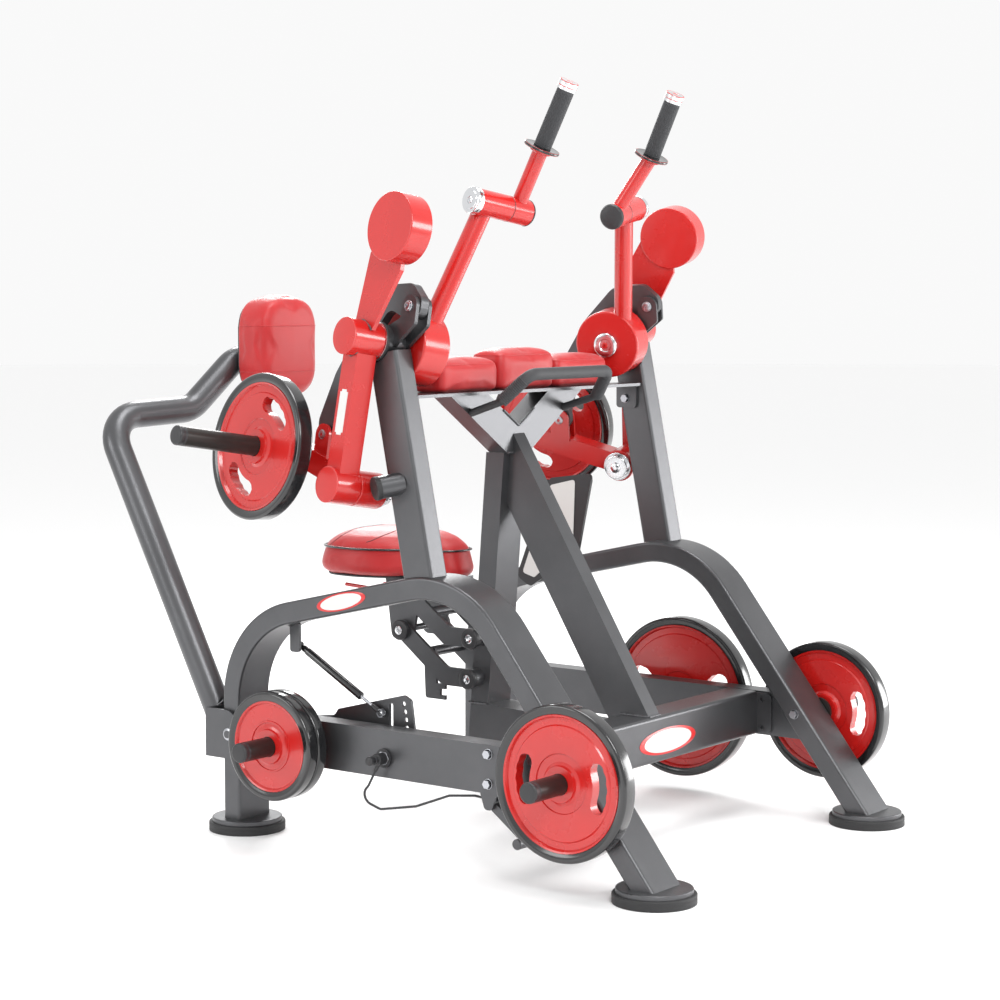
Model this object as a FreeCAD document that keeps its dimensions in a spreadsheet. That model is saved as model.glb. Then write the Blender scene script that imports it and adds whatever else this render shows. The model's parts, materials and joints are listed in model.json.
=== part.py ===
"""Plate-loaded pull-down machine with two converging levers, a four-bar weight arm on each
side, an adjustable seat and a swinging back pad.

Frame of the part: origin on the floor midway between the four feet, +X to the user's left hand
seen from the front, +Y to the rear, +Z up.  The machine is mirrored about X = 0, apart from the
back-pad arm and its release, which sit on the left (-X) side.
"""
import FreeCAD, Part
import math
import os
import re
import Sketcher
from FreeCAD import Placement, Rotation, Vector

DIMS = {
    # feet and floor frame
    "foot_x": 517, "foot_y": 641, "foot_pad_radius": 100, "foot_pad_height": 24,
    "foot_disc_radius": 92, "foot_top": 36, "foot_bevel": 5,
    "arch_width": 120, "arch_depth": 56, "arch_round": 8, "wall": 4,
    "arch_bend": 250, "rear_corner_z": 550, "front_corner_y": -107, "front_corner_z": 720,
    "rail_center_x": 535, "rail_width": 60, "rail_height": 120, "rail_bottom": 206,
    "crossbeam_y": -262, "crossbeam_depth": 100, "flange_thick": 8, "flange_reach": 188,
    # posts and middle frame
    "post_width": 66, "post_depth": 90, "post_lean": 11.3, "post_base_y": 18, "post_base_z": 690,
    "post_length": 584,
    "column_half": 50, "column_depth": 58, "column_slope": 0.078, "column_top": 989,
    "column_front_y": 172, "column_front_z": 632, "strut_slope": 0.607, "strut_front_y": -301,
    "strut_reach": 134, "strut_joint": 840,
    "spine_top": 313, "spine_front_top": 292,
    "strut_half": 25, "brace_front_y": 132, "brace_depth": 60, "brace_top": 1150,
    "tie_front_y": 75, "tie_rear_y": 200, "tie_half": 502, "tie_thick": 8,
    # the origin lies this far behind the middle of the four feet, under the middle of the whole
    "origin_y": 216.4,
    # lever frame: place and tilt of each main pivot
    "pivot_x": 400, "pivot_y": 124, "pivot_z": 1266, "pivot_turn": 12, "pivot_tilt": 9,
    "drum_radius": 92.5, "drum_width": 85, "shaft_radius": 25, "housing_radius": 45,
    "housing_in": 90, "housing_out": 158, "hub_radius": 46, "hub_in": 169, "hub_out": 263,
    "fit": 0.05,
    "weight_y": -123, "weight_z": 267, "weight_radius": 85, "weight_in": 196, "weight_out": 262,
    "elbow_y": 21, "elbow_z": -365, "elbow_radius": 45, "elbow_mid": 171, "elbow_in": 87,
    "elbow_out": 247, "elbow_pin": 20,
    "clevis_y": -88, "clevis_z": 91, "clevis_radius": 28,
    "arm_joint_y": 200, "arm_joint_z": -238, "link_in": 107, "link_out": 131,
    "horn_y": 294, "horn_z": -288, "horn_radius": 25, "horn_tip": 520, "plate_seat": 282,
    "swivel_y": -110, "swivel_z": 377, "swivel_radius": 33, "swivel_in": -180,
    "swivel_seam": -113, "swivel_out": -10,
    # plates
    "plate_radius": 187, "big_plate_radius": 228, "small_plate_radius": 140, "plate_width": 44,
    "small_plate_width": 34,
    # seat
    "seat_pivot_y": 225, "seat_pivot_z": 491, "seat_low_y": 232, "seat_low_z": 382,
    "seat_run_y": 233, "seat_run_z": 113, "seat_link_in": 74, "seat_link_out": 84,
    "seat_pin_radius": 9, "seat_base_z": 640, "cap_radius": 27,
    # back pad
    "plunger_y": 130, "plunger_z": 256, "plunger_radius": 6, "stud_y": 205, "stud_z": 350,
    "ball_x": 488, "spring_rod": 4, "spring_top_y": 476, "spring_top_z": 500, "notch_step": 2.3,
    "notch_reach": 510, "back_pivot_y": 640, "back_pivot_z": 262, "back_arm_radius": 37,
    "back_pad_y": 930, "back_pad_thick": 110, "back_pad_half": 119,
    "back_pad_low": 1112, "back_pad_high": 1400,
    # swivel handles
    "handle_tube_radius": 19.5, "grip_radius": 22, "grip_bore": 14, "grip_length": 182,
    "guard_radius": 46, "guard_thick": 7, "grip_cap_radius": 24.5, "grip_cap_length": 22,
}

doc = FreeCAD.newDocument("pulldown_machine")
sheet = doc.addObject("Spreadsheet::Sheet", "dims")
for row, (alias, number) in enumerate(DIMS.items(), 1):
    sheet.set("A%d" % row, alias)
    sheet.set("B%d" % row, str(number))
    sheet.setAlias("B%d" % row, alias)
doc.recompute()

NODES = []                      # the finished sub-parts, one STEP file each
ALONG_X = Rotation(Vector(0, 1, 0), Vector(0, 0, 1), Vector(1, 0, 0), "ZXY")   # sketch in Y-Z
ALONG_Y = Rotation(Vector(1, 0, 0), Vector(0, 0, 1), Vector(0, -1, 0), "ZXY")  # sketch in X-Z
SIDES = {"left": -1, "right": 1}


# ------------------------------------------------------------------ helpers
def linked(expression):
    """The expression with every sheet alias written as dims.alias."""
    def prefix(match):
        word = match.group()
        return "dims." + word if word in DIMS else word
    return re.sub(r"[a-z_]+", prefix, str(expression))


def value(expression):
    """The number that an expression over the sheet's aliases gives."""
    return float(sheet.evalExpression(linked(expression)))


def bind(item, **properties):
    """Binds properties of a document object to expressions over the sheet."""
    for name, expression in properties.items():
        item.setExpression(name, linked(expression))


def place(item, at=(0, 0, 0), turn=Rotation()):
    """Sets an object's placement, its base bound to the sheet."""
    item.Placement = Placement(Vector(*[value(expression) for expression in at]), turn)
    for axis, expression in zip("xyz", at):
        item.setExpression("Placement.Base." + axis, linked(expression))
    return item


def add_circle(sketch, x, y, radius):
    """A hole or disc whose centre and radius are bound to the sheet."""
    index = sketch.addGeometry(Part.Circle(Vector(value(x), value(y)), Vector(0, 0, 1), value(radius)))
    for kind, target in (("DistanceX", x), ("DistanceY", y)):
        mark = sketch.addConstraint(Sketcher.Constraint(kind, index, 3, value(target)))
        sketch.setExpression("Constraints[%d]" % mark, linked(target))
    mark = sketch.addConstraint(Sketcher.Constraint("Radius", index, value(radius)))
    sketch.setExpression("Constraints[%d]" % mark, linked(radius))


def add_outline(sketch, corners):
    """A closed outline of straight sides; a corner is (x, y) or (x, y, bend radius)."""
    count = len(corners)
    points = [Vector(value(corner[0]), value(corner[1])) for corner in corners]
    radii = [value(corner[2]) if len(corner) > 2 else 0 for corner in corners]
    ends = []
    for i in range(count):
        back = (points[i - 1] - points[i]).normalize()
        on = (points[(i + 1) % count] - points[i]).normalize()
        reach = radii[i] / math.tan(back.getAngle(on) / 2)
        ends.append((points[i] + back * reach, points[i] + on * reach))
    sides = [sketch.addGeometry(Part.LineSegment(ends[i][1], ends[(i + 1) % count][0]))
             for i in range(count)]

    def pin(kind, item, position, target):
        mark = sketch.addConstraint(Sketcher.Constraint(kind, item, position, value(target)))
        sketch.setExpression("Constraints[%d]" % mark, linked(target))

    for i in range(count):
        if not radii[i]:
            sketch.addConstraint(Sketcher.Constraint("Coincident", sides[i - 1], 2, sides[i], 1))
            pin("DistanceX", sides[i], 1, corners[i][0])
            pin("DistanceY", sides[i], 1, corners[i][1])
            continue
        start, stop = ends[i]
        turn_left = (points[i] - start).cross(stop - points[i]).z > 0
        side_way = Vector(-(points[i] - start).y, (points[i] - start).x).normalize()
        center = start + side_way * (radii[i] if turn_left else -radii[i])
        first, last = (start, stop) if turn_left else (stop, start)
        low = math.atan2(first.y - center.y, first.x - center.x)
        high = math.atan2(last.y - center.y, last.x - center.x)
        if high < low:
            high += 2 * math.pi
        arc = sketch.addGeometry(Part.ArcOfCircle(
            Part.Circle(center, Vector(0, 0, 1), radii[i]), low, high))
        enter, leave = (1, 2) if turn_left else (2, 1)
        sketch.addConstraint(Sketcher.Constraint("Tangent", sides[i - 1], 2, arc, enter))
        sketch.addConstraint(Sketcher.Constraint("Tangent", arc, leave, sides[i], 1))
        mark = sketch.addConstraint(Sketcher.Constraint("Radius", arc, radii[i]))
        sketch.setExpression("Constraints[%d]" % mark, linked(corners[i][2]))
        corner = sketch.addGeometry(Part.Point(points[i]), True)
        sketch.addConstraint(Sketcher.Constraint("PointOnObject", corner, 1, sides[i - 1]))
        sketch.addConstraint(Sketcher.Constraint("PointOnObject", corner, 1, sides[i]))
        pin("DistanceX", corner, 1, corners[i][0])
        pin("DistanceY", corner, 1, corners[i][1])


def base_sketch(body, label, loops, start=0, plane="XY_Plane"):
    """A sketch on one of the body's own planes; a loop of three plain values is a circle."""
    sketch = body.newObject("Sketcher::SketchObject", label)
    origin = [item for item in body.Origin.OriginFeatures if item.Role == plane][0]
    sketch.AttachmentSupport = [(origin, "")]
    sketch.MapMode = "FlatFace"
    bind(sketch, **{"AttachmentOffset.Base.z": start})
    for loop in loops:
        if len(loop) == 3 and not isinstance(loop[0], tuple):
            add_circle(sketch, *loop)
        else:
            add_outline(sketch, loop)
    return sketch


def prism(label, loops, length, start=0, at=(0, 0, 0), turn=Rotation(), hollow=None):
    """A padded outline with its holes; hollow is an inner outline that leaves a wall at the ends."""
    body = doc.addObject("PartDesign::Body", label)
    pad = body.newObject("PartDesign::Pad", label + "_pad")
    pad.Profile = base_sketch(body, label + "_outline", loops, start)
    bind(pad, Length=length)
    if hollow:
        doc.recompute()
        before = body.Shape.Volume
        pocket = body.newObject("PartDesign::Pocket", label + "_hollow")
        pocket.Profile = base_sketch(body, label + "_inside", [hollow], "%s + wall" % start)
        pocket.Reversed = True
        bind(pocket, Length="%s - 2 * wall" % length)
        doc.recompute()
        if body.Shape.Volume >= before:
            raise SystemExit(label + ": the hollow cut nothing")
    return place(body, at, turn)


def turned(label, corners, at=(0, 0, 0), turn=Rotation()):
    """A solid of revolution about its own X axis; corners are (along, radius[, bend])."""
    body = doc.addObject("PartDesign::Body", label)
    sketch = base_sketch(body, label + "_half_section", [corners])
    spin = body.newObject("PartDesign::Revolution", label + "_turned")
    spin.Profile = sketch
    spin.ReferenceAxis = (sketch, ["H_Axis"])
    spin.Angle = 360
    return place(body, at, turn)


def rounded(item, radius, choose):
    """Rounds the edges of a body that choose(edge) picks."""
    doc.recompute()
    base = item.Tip
    names = ["Edge%d" % (i + 1) for i, edge in enumerate(base.Shape.Edges) if choose(edge)]
    fillet = item.newObject("PartDesign::Fillet", item.Name + "_rounded")
    fillet.Base = (base, names)
    bind(fillet, Radius=radius)
    return item


def rectangle(x0, y0, x1, y1, bend=None):
    """The four corners of an upright rectangle, with a bend radius if one is given."""
    corners = [(x0, y0), (x1, y0), (x1, y1), (x0, y1)]
    return [corner + (bend,) for corner in corners] if bend else corners


def ring(along0, along1, inner, outer, edge=None):
    """The half section of a bush, sleeve or (with inner 0) a disc."""
    if edge:
        return [(along0, inner), (along1, inner), (along1, outer, edge), (along0, outer, edge)]
    return [(along0, inner), (along1, inner), (along1, outer), (along0, outer)]


def rod(label, start, stop, radius):
    """A round bar between two points."""
    bar = doc.addObject("Part::Cylinder", label)
    run = Vector(*stop) - Vector(*start)
    bind(bar, Radius=radius)
    bar.Height = run.Length
    bar.Placement = Placement(Vector(*start), Rotation(Vector(0, 0, 1), run))
    return bar


def path_wire(points, radius):
    """Straight runs through the points, joined by tangent arcs of one radius."""
    points = [Vector(*point) for point in points]
    edges = []
    start = points[0]
    for i in range(1, len(points) - 1):
        back = (points[i - 1] - points[i]).normalize()
        on = (points[i + 1] - points[i]).normalize()
        half = back.getAngle(on) / 2
        reach = radius / math.tan(half)
        enter = points[i] + back * reach
        leave = points[i] + on * reach
        middle = (back + on).normalize()
        center = points[i] + middle * (radius / math.sin(half))
        edges.append(Part.LineSegment(start, enter).toShape())
        edges.append(Part.Arc(enter, center - middle * radius, leave).toShape())
        start = leave
    edges.append(Part.LineSegment(start, points[-1]).toShape())
    return Part.Wire(edges)


def swept(label, points, bend, radius, inner=0):
    """A round tube along straight runs and tangent arcs."""
    item = doc.addObject("Part::Feature", label)
    path = path_wire(points, bend)
    way = (Vector(*points[1]) - Vector(*points[0])).normalize()
    sections = []
    for size in (radius, inner):
        if size:
            circle = Part.Wire(Part.makeCircle(size, Vector(*points[0]), way))
            sections.append(path.makePipeShell([circle], True, False))
    item.Shape = sections[0].cut(sections[1]) if inner else sections[0]
    return item


def cut(label, base, tool):
    item = doc.addObject("Part::Cut", label)
    item.Base = base
    item.Tool = tool
    return item


def fuse(label, parts):
    item = doc.addObject("Part::MultiFuse", label)
    item.Shapes = parts
    item.Refine = True
    return item


def group(label, parts):
    """Separate solids that share one node."""
    item = doc.addObject("Part::Compound", label)
    item.Links = parts
    return item


def moved(item, frame):
    """The item carried into a frame that the sheet gives."""
    base = item.Placement
    for axis in "xyz":
        item.setExpression("Placement.Base." + axis, None)
    item.Placement = frame.multiply(base)
    return item


def keep(item, label, frame=Placement()):
    """Registers a finished sub-part, carried into its frame and on to the machine's origin."""
    item.Label = label
    origin = Placement(Vector(0, -value("origin_y"), 0), Rotation())
    NODES.append(moved(item, origin.multiply(frame)))
    return item


def lever_frame(side):
    """Local x outward along the main pivot (mirrored on the left), y rearward, z up."""
    spin = Rotation(Vector(0, 0, 1), side * value("pivot_turn"))
    tilt = Rotation(Vector(0, 1, 0), -side * value("pivot_tilt"))
    origin = Vector(side * value("pivot_x"), value("pivot_y"), value("pivot_z"))
    return Placement(origin, spin.multiply(tilt))


# ------------------------------------------------------------------ floor frame
TOP_SLOPE = "(front_corner_z - rear_corner_z) / (foot_y - front_corner_y)"
LEG_SLOPE = "(front_corner_z - foot_top) / (foot_y + front_corner_y)"
RAIL_TOP = "rail_bottom + rail_height"


def stretch(slope):
    return "sqrt(1 + (%s) ^ 2)" % slope


def arch_line(offset):
    """Corners of a line parallel to the arch's centre line, offset outward, rear foot first."""
    rear_y = "foot_y + %s" % offset
    rear_z = "rear_corner_z + (%s) * (%s - %s)" % (offset, stretch(TOP_SLOPE), TOP_SLOPE)
    shift = "(%s) * (%s - %s) / (%s + %s)" % (
        offset, stretch(TOP_SLOPE), stretch(LEG_SLOPE), TOP_SLOPE, LEG_SLOPE)
    corner_y = "front_corner_y + " + shift
    corner_z = "front_corner_z - (%s) * (%s) + (%s) * %s" % (
        TOP_SLOPE, shift, offset, stretch(TOP_SLOPE))
    return [(rear_y, "foot_top"), (rear_y, rear_z, "arch_bend + %s" % offset),
            (corner_y, corner_z, "arch_bend + %s" % offset), (leg_y(offset, "foot_top"), "foot_top")]


def leg_y(offset, height):
    """Y of the front leg's line, offset outward, at a height."""
    return "front_corner_y + (%s - front_corner_z - (%s) * %s) / (%s)" % (
        height, offset, stretch(LEG_SLOPE), LEG_SLOPE)


def band(half):
    return arch_line(half) + arch_line("-(%s)" % half)[::-1]


def tube_section(x0, y0, x1, y1, bend):
    """Outer and inner outline of a rectangular tube."""
    inner = [("%s + wall" % x0, "%s + wall" % y0, "%s - wall" % bend),
             ("%s - wall" % x1, "%s + wall" % y0, "%s - wall" % bend),
             ("%s - wall" % x1, "%s - wall" % y1, "%s - wall" % bend),
             ("%s + wall" % x0, "%s - wall" % y1, "%s - wall" % bend)]
    return [rectangle(x0, y0, x1, y1, bend), inner]


def long_edge(edge):
    """The arch's edges that run along it, on its two side faces."""
    ends = [vertex.Point for vertex in edge.Vertexes]
    flat = all(abs(end.z - ends[0].z) < 1e-3 for end in ends)
    on_side = min(abs(ends[0].z), abs(ends[0].z - value("arch_width"))) < 1e-3
    at_foot = all(abs(end.y - value("foot_top")) < 1e-3 for end in ends)
    return flat and on_side and not at_foot


def arch(name, side):
    at = ("%d * foot_x - arch_width / 2" % side, 0, 0)
    blank = prism(name + "_arch_blank", [band("arch_depth / 2")], "arch_width", at=at, turn=ALONG_X)
    tube = prism(name + "_arch_tube", [band("arch_depth / 2")], "arch_width", at=at, turn=ALONG_X)
    rounded(tube, "arch_round", long_edge)
    doc.recompute()
    before = tube.Shape.Volume
    bore = tube.newObject("PartDesign::Pocket", name + "_arch_bore")
    bore.Profile = base_sketch(tube, name + "_arch_inside", [band("arch_depth / 2 - wall")], "wall")
    bore.Reversed = True
    bind(bore, Length="arch_width - 2 * wall")
    doc.recompute()
    if tube.Shape.Volume >= before:
        raise SystemExit(name + " arch: the bore cut nothing")
    return blank, tube


blanks = {}
for name, side in SIDES.items():
    blanks[name], tube = arch(name, side)
    if name == "left":
        hole = rod("back_pivot_hole", (side * 600, value("back_pivot_y"), value("back_pivot_z")),
                   (side * 430, value("back_pivot_y"), value("back_pivot_z")), "seat_pin_radius + 1 + fit")
        tube = cut("left_arch_drilled", tube, hole)
        tab = prism("spring_tab", [rectangle("spring_top_y - 16", "spring_top_z - 16",
                                             "spring_top_y + 16", "spring_top_z + 62", 8)], 8,
                    at=(-510, 0, 0), turn=ALONG_X)
        ball = turned("spring_ball", ring("-ball_x - 16", "-ball_x + 8", 0, 4),
                      at=(0, "spring_top_y", "spring_top_z"))
        tube = fuse("left_arch_weldment", [tube, tab, ball])
    keep(tube, name + "_arch")

    inner = "-arch_depth / 2"
    outline = [("foot_y + " + inner, "rail_bottom"), ("foot_y + " + inner, RAIL_TOP),
               (leg_y(inner, RAIL_TOP), RAIL_TOP), (leg_y(inner, "rail_bottom"), "rail_bottom")]
    low, high = "rail_bottom + wall", RAIL_TOP + " - wall"
    inside = [("foot_y + " + inner + " - wall", low), ("foot_y + " + inner + " - wall", high),
              (leg_y(inner, high) + " + wall", high), (leg_y(inner, low) + " + wall", low)]
    rail = prism(name + "_rail_tube", [outline], "rail_width", hollow=inside,
                 at=("%d * rail_center_x - rail_width / 2" % side, 0, 0), turn=ALONG_X)
    if name == "left":
        bore = rod("plunger_hole", (side * 600, value("plunger_y"), value("plunger_z")),
                   (side * 480, value("plunger_y"), value("plunger_z")), "plunger_radius + fit")
        rail = cut("left_rail_drilled", rail, bore)
    keep(rail, name + "_rail")

beam = prism("crossbeam_tube", tube_section(
    "crossbeam_y - crossbeam_depth / 2", "rail_bottom", "crossbeam_y + crossbeam_depth / 2", RAIL_TOP,
    10), "2 * (rail_center_x - rail_width / 2 - flange_thick)",
    start="flange_thick + rail_width / 2 - rail_center_x", turn=ALONG_X)


def four_bolts(half_y, half_z):
    return [(y, z) for y in (-half_y, half_y) for z in (-half_z, half_z)]


FLANGE_BOLTS = four_bolts(66, 38)
flanges = []
for name, side in SIDES.items():
    holes = [("crossbeam_y + %d" % y, "rail_bottom + rail_height / 2 + %d" % z, 6.5)
             for y, z in FLANGE_BOLTS]
    flanges.append(prism(name + "_flange", [
        rectangle("crossbeam_y - flange_reach / 2", "rail_bottom + 4",
                  "crossbeam_y + flange_reach / 2", RAIL_TOP + " - 4", 16)] + holes, "flange_thick",
        at=("%d * (rail_center_x - rail_width / 2 - flange_thick / 2) - flange_thick / 2" % side, 0, 0),
        turn=ALONG_X))
keep(fuse("crossbeam_weldment", [beam] + flanges), "front_crossbeam")


# ------------------------------------------------------------------ feet
def feet(label, profile):
    parts = []
    upright = Rotation(Vector(0, 0, 1), Vector(0, 1, 0), Vector(-1, 0, 0), "ZXY")
    for x_sign, y_sign in ((-1, -1), (1, -1), (-1, 1), (1, 1)):
        parts.append(turned("%s_%d" % (label, len(parts) + 1), profile,
                            at=("%d * foot_x" % x_sign, "%d * foot_y" % y_sign, 0), turn=upright))
    return group(label + "_set", parts)


keep(feet("rubber_foot", [(0, 0), ("foot_pad_height", 0),
                          ("foot_pad_height", "foot_pad_radius - foot_bevel"),
                          ("foot_pad_height - foot_bevel", "foot_pad_radius"), (0, "foot_pad_radius")]),
     "rubber_feet")
keep(feet("foot_disc", [("foot_pad_height", 0), ("foot_top", 0), ("foot_top", "foot_disc_radius", 3),
                        ("foot_pad_height", "foot_disc_radius")]), "foot_discs")


# ------------------------------------------------------------------ column, strut, brace, tie plate
def column_y(height, depth=0):
    return "column_front_y + (column_front_z - %s) * column_slope + %s" % (height, depth)


BEAM_REAR = "crossbeam_y + crossbeam_depth / 2"
STRUT_CUT = "spine_top - 1"


def strut_y(height, depth=0):
    return "strut_front_y + strut_slope * (%s - rail_bottom - rail_height) + %s" % (height, depth)


column_outline = [
    (column_y("column_top"), "column_top"), (column_y("spine_top"), "spine_top"),
    (BEAM_REAR, "spine_front_top"), (BEAM_REAR, "rail_bottom"),
    (column_y("rail_bottom", "column_depth"), "rail_bottom"),
    (column_y("column_top", "column_depth"), "column_top")]
column_inside = [
    (column_y("column_top", "wall"), "column_top - wall"),
    (column_y("spine_top", "wall"), "spine_top - wall"),
    (BEAM_REAR + " + wall", "spine_front_top - wall"), (BEAM_REAR + " + wall", "rail_bottom + wall"),
    (column_y("rail_bottom", "column_depth - 1.4 * wall"), "rail_bottom + wall"),
    (column_y("column_top", "column_depth - 1.4 * wall"), "column_top - wall")]
column = prism("column_tube", [column_outline], "2 * column_half", hollow=column_inside,
               at=("-column_half", 0, 0), turn=ALONG_X)


def across_rod(label, half, y, z, radius):
    return turned(label, ring("-(%s)" % half, half, 0, radius), at=(0, y, z))


def capped_pin(label, y, z):
    """A pin right across the machine's middle with a round cap at each end."""
    pin = across_rod(label, "seat_link_out + 12", y, z, "seat_pin_radius")
    caps = [turned(label + "_cap", ring("%d * (seat_link_out + 1)" % side,
                                        "%d * (seat_link_out + 14)" % side, 0, "cap_radius", 3),
                   at=(0, y, z)) for side in (-1, 1)]
    return [pin] + caps


pivots = []
for y, z in (("seat_pivot_y", "seat_pivot_z"), ("seat_low_y", "seat_low_z")):
    column = cut("column_bored", column, across_rod("column_bore", "column_half + 10", y, z,
                                                    "seat_pin_radius + fit"))
    bosses = [turned("seat_boss", ring("%d * (column_half + fit)" % side, "%d * seat_link_in" % side,
                                       0, 24), at=(0, y, z)) for side in (-1, 1)]
    pivots.append(fuse("seat_pivot", capped_pin("seat_pin", y, z) + bosses))
keep(column, "column")
keep(group("seat_pivot_pair", pivots), "front_seat_pivots")

strut_meet = "(column_front_y + column_front_z * column_slope - strut_front_y - strut_reach" \
             " + strut_slope * (rail_bottom + rail_height)) / (strut_slope + column_slope)"
strut_head = "rail_bottom + rail_height + (brace_front_y - strut_front_y) / strut_slope"
keep(prism("strut_tube", [[
    ("strut_front_y", RAIL_TOP), (BEAM_REAR, RAIL_TOP), (BEAM_REAR, STRUT_CUT),
    (strut_y(STRUT_CUT, "strut_reach"), STRUT_CUT), (column_y(strut_meet), strut_meet),
    (column_y("column_top"), "column_top"), ("brace_front_y", "column_top"),
    ("brace_front_y", strut_head)]], "2 * strut_half", at=("-strut_half", 0, 0), turn=ALONG_X,
    hollow=[("strut_front_y + 10", RAIL_TOP + " + wall"), (BEAM_REAR, RAIL_TOP + " + wall"),
            (strut_y(RAIL_TOP, "strut_reach - 12"), RAIL_TOP + " + wall"),
            (strut_y("strut_joint", "strut_reach - 12"), "strut_joint"),
            (strut_y("strut_joint", 8), "strut_joint")]), "strut")

brace = [("column_half", "column_top"), (297, "brace_top"), (138, "brace_top"), (0, 1061),
         (-138, "brace_top"), (-297, "brace_top"), ("-column_half", "column_top")]
brace_inside = [("column_half - 2", "column_top + wall"), (284, "brace_top - wall"),
                (144, "brace_top - wall"), (0, 1056), (-144, "brace_top - wall"),
                (-284, "brace_top - wall"), ("2 - column_half", "column_top + wall")]
keep(prism("brace_tubes", [brace], "brace_depth", start="-brace_front_y - brace_depth",
           hollow=brace_inside, turn=ALONG_Y), "y_brace")

top_plate = prism("tie_top", [rectangle("-tie_half", "tie_front_y", "tie_half", "tie_rear_y - 44"),
                              ], "tie_thick", at=(0, 0, "brace_top"))
middle_plate = prism("tie_middle", [rectangle(-400, "tie_rear_y - 44", 400, "tie_rear_y", 12)],
                     "tie_thick", at=(0, 0, "brace_top"))
joiner = prism("tie_joiner", [rectangle(-386, "tie_rear_y - 60", 386, "tie_rear_y - 20")],
               "tie_thick", at=(0, 0, "brace_top"))
tabs = []
for name, side in SIDES.items():
    tabs.append(prism(name + "_tab", [
        [(88, "brace_top - 62", 10), (154, "brace_top - 62", 10), (154, "brace_top"), (88, "brace_top")],
        (123, "brace_top - 36", 6.5)], "tie_thick",
        at=("%d * (tie_half - tie_thick / 2) - tie_thick / 2" % side, 0, 0), turn=ALONG_X))
keep(fuse("tie_weldment", [top_plate, middle_plate, joiner] + tabs), "tie_plate")


# ------------------------------------------------------------------ posts with pivot housings
def lever_piece(label, side, loops, inner, outer, hollow=None):
    """An outline in the lever's plane, padded between two distances out along the pivot."""
    start = inner if side > 0 else "-(%s)" % outer
    return prism(label, loops, "%s - (%s)" % (outer, inner), start=start, turn=ALONG_X, hollow=hollow)


def lever_turned(label, side, corners, y=0, z=0):
    """A turned piece in the lever's frame; corners are (distance out, radius[, bend])."""
    mirrored = [("%d * (%s)" % (side, corner[0]),) + tuple(corner[1:]) for corner in corners]
    return turned(label, mirrored, at=(0, y, z))


def clevis_plate(label, side, inner, outer):
    """One of the two ears that carry the curved link, reaching up from the housing."""
    return lever_piece(label, side, [[
        ("clevis_y - clevis_radius", "clevis_z - 43", 10),
        ("clevis_y - clevis_radius", "clevis_z + clevis_radius", "clevis_radius - 0.5"),
        ("clevis_y + clevis_radius", "clevis_z + clevis_radius", "clevis_radius - 0.5"),
        ("clevis_y + clevis_radius", "clevis_z - 29", 10), (20, 26), (-28, -24)],
        ("clevis_y", "clevis_z", "seat_pin_radius + fit")], inner, outer)


def post(name, side):
    frame = lever_frame(side)
    lean = Rotation(Vector(1, 0, 0), -value("post_lean"))
    tube = prism(name + "_post_tube", tube_section(
        "-post_width / 2", "-post_depth / 2", "post_width / 2", "post_depth / 2", 9), "post_length",
        at=("%d * rail_center_x" % side, "post_base_y", "post_base_z"), turn=lean)
    tube = cut(name + "_post_cut", tube, blanks[name])
    room = lever_turned(name + "_post_room", side, [
        (-10, 0), (-10, "drum_radius + 2"), ("drum_width + 2", "drum_radius + 2"),
        ("drum_width + 2", "housing_radius"), ("housing_out", "housing_radius"),
        ("housing_out", 53), (240, 53), (240, 0)])
    tube = cut(name + "_post_saddle", tube, moved(room, frame))
    housing = lever_turned(name + "_housing", side, ring("housing_in", "housing_out",
                                                         "shaft_radius + 12", "housing_radius", 3))
    ears = [clevis_plate(name + "_inner_ear", side, "housing_in + 4", "housing_in + 14"),
            clevis_plate(name + "_outer_ear", side, "housing_in + 44", "housing_in + 54")]
    head = fuse(name + "_post_head", [housing] + ears)
    bore = lever_turned(name + "_housing_bore", side, ring("housing_in - 5", "housing_out + 5", 0,
                                                           "shaft_radius + 12"))
    head = cut(name + "_post_head_bored", head, bore)
    moved(head, frame)
    out = value("rail_center_x") + value("post_width") / 2
    way = Vector(side * math.cos(math.radians(30)), math.sin(math.radians(30)), -0.16)
    root = Vector(side * (out - 12), 86 - 7, 942 + 2)
    peg = rod(name + "_peg", root, root + way * 72, 28.5)
    core = prism(name + "_post_core", [rectangle("-post_width / 2 + 1", "-post_depth / 2 + 1",
                                                 "post_width / 2", "post_depth / 2 - 1")],
                 "post_length", at=("%d * rail_center_x" % side, "post_base_y", "post_base_z"),
                 turn=lean)
    peg = cut(name + "_peg_cut", peg, core)
    return fuse(name + "_post_weldment", [tube, head, peg])


for name, side in SIDES.items():
    keep(post(name, side), name + "_post")


# ------------------------------------------------------------------ levers
def strip(start, stop, half, inset=0):
    """The four corners of a straight bar from start to stop, shortened at both ends by inset."""
    run = Vector(*[value(item) for item in stop], 0) - Vector(*[value(item) for item in start], 0)
    way = run.normalize()
    across = Vector(-way.y, way.x, 0) * value(half)
    first = Vector(value(start[0]), value(start[1]), 0) + way * value(inset)
    last = Vector(value(stop[0]), value(stop[1]), 0) - way * value(inset)
    return [(corner.x, corner.y)
            for corner in (first - across, last - across, last + across, first + across)]


def drilled(label, item, side, y, z, radius, inner, outer):
    """The item with a hole along the lever's pivot direction."""
    return cut(label, item, lever_turned(label + "_drill", side, ring(inner, outer, 0, radius), y, z))


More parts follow.
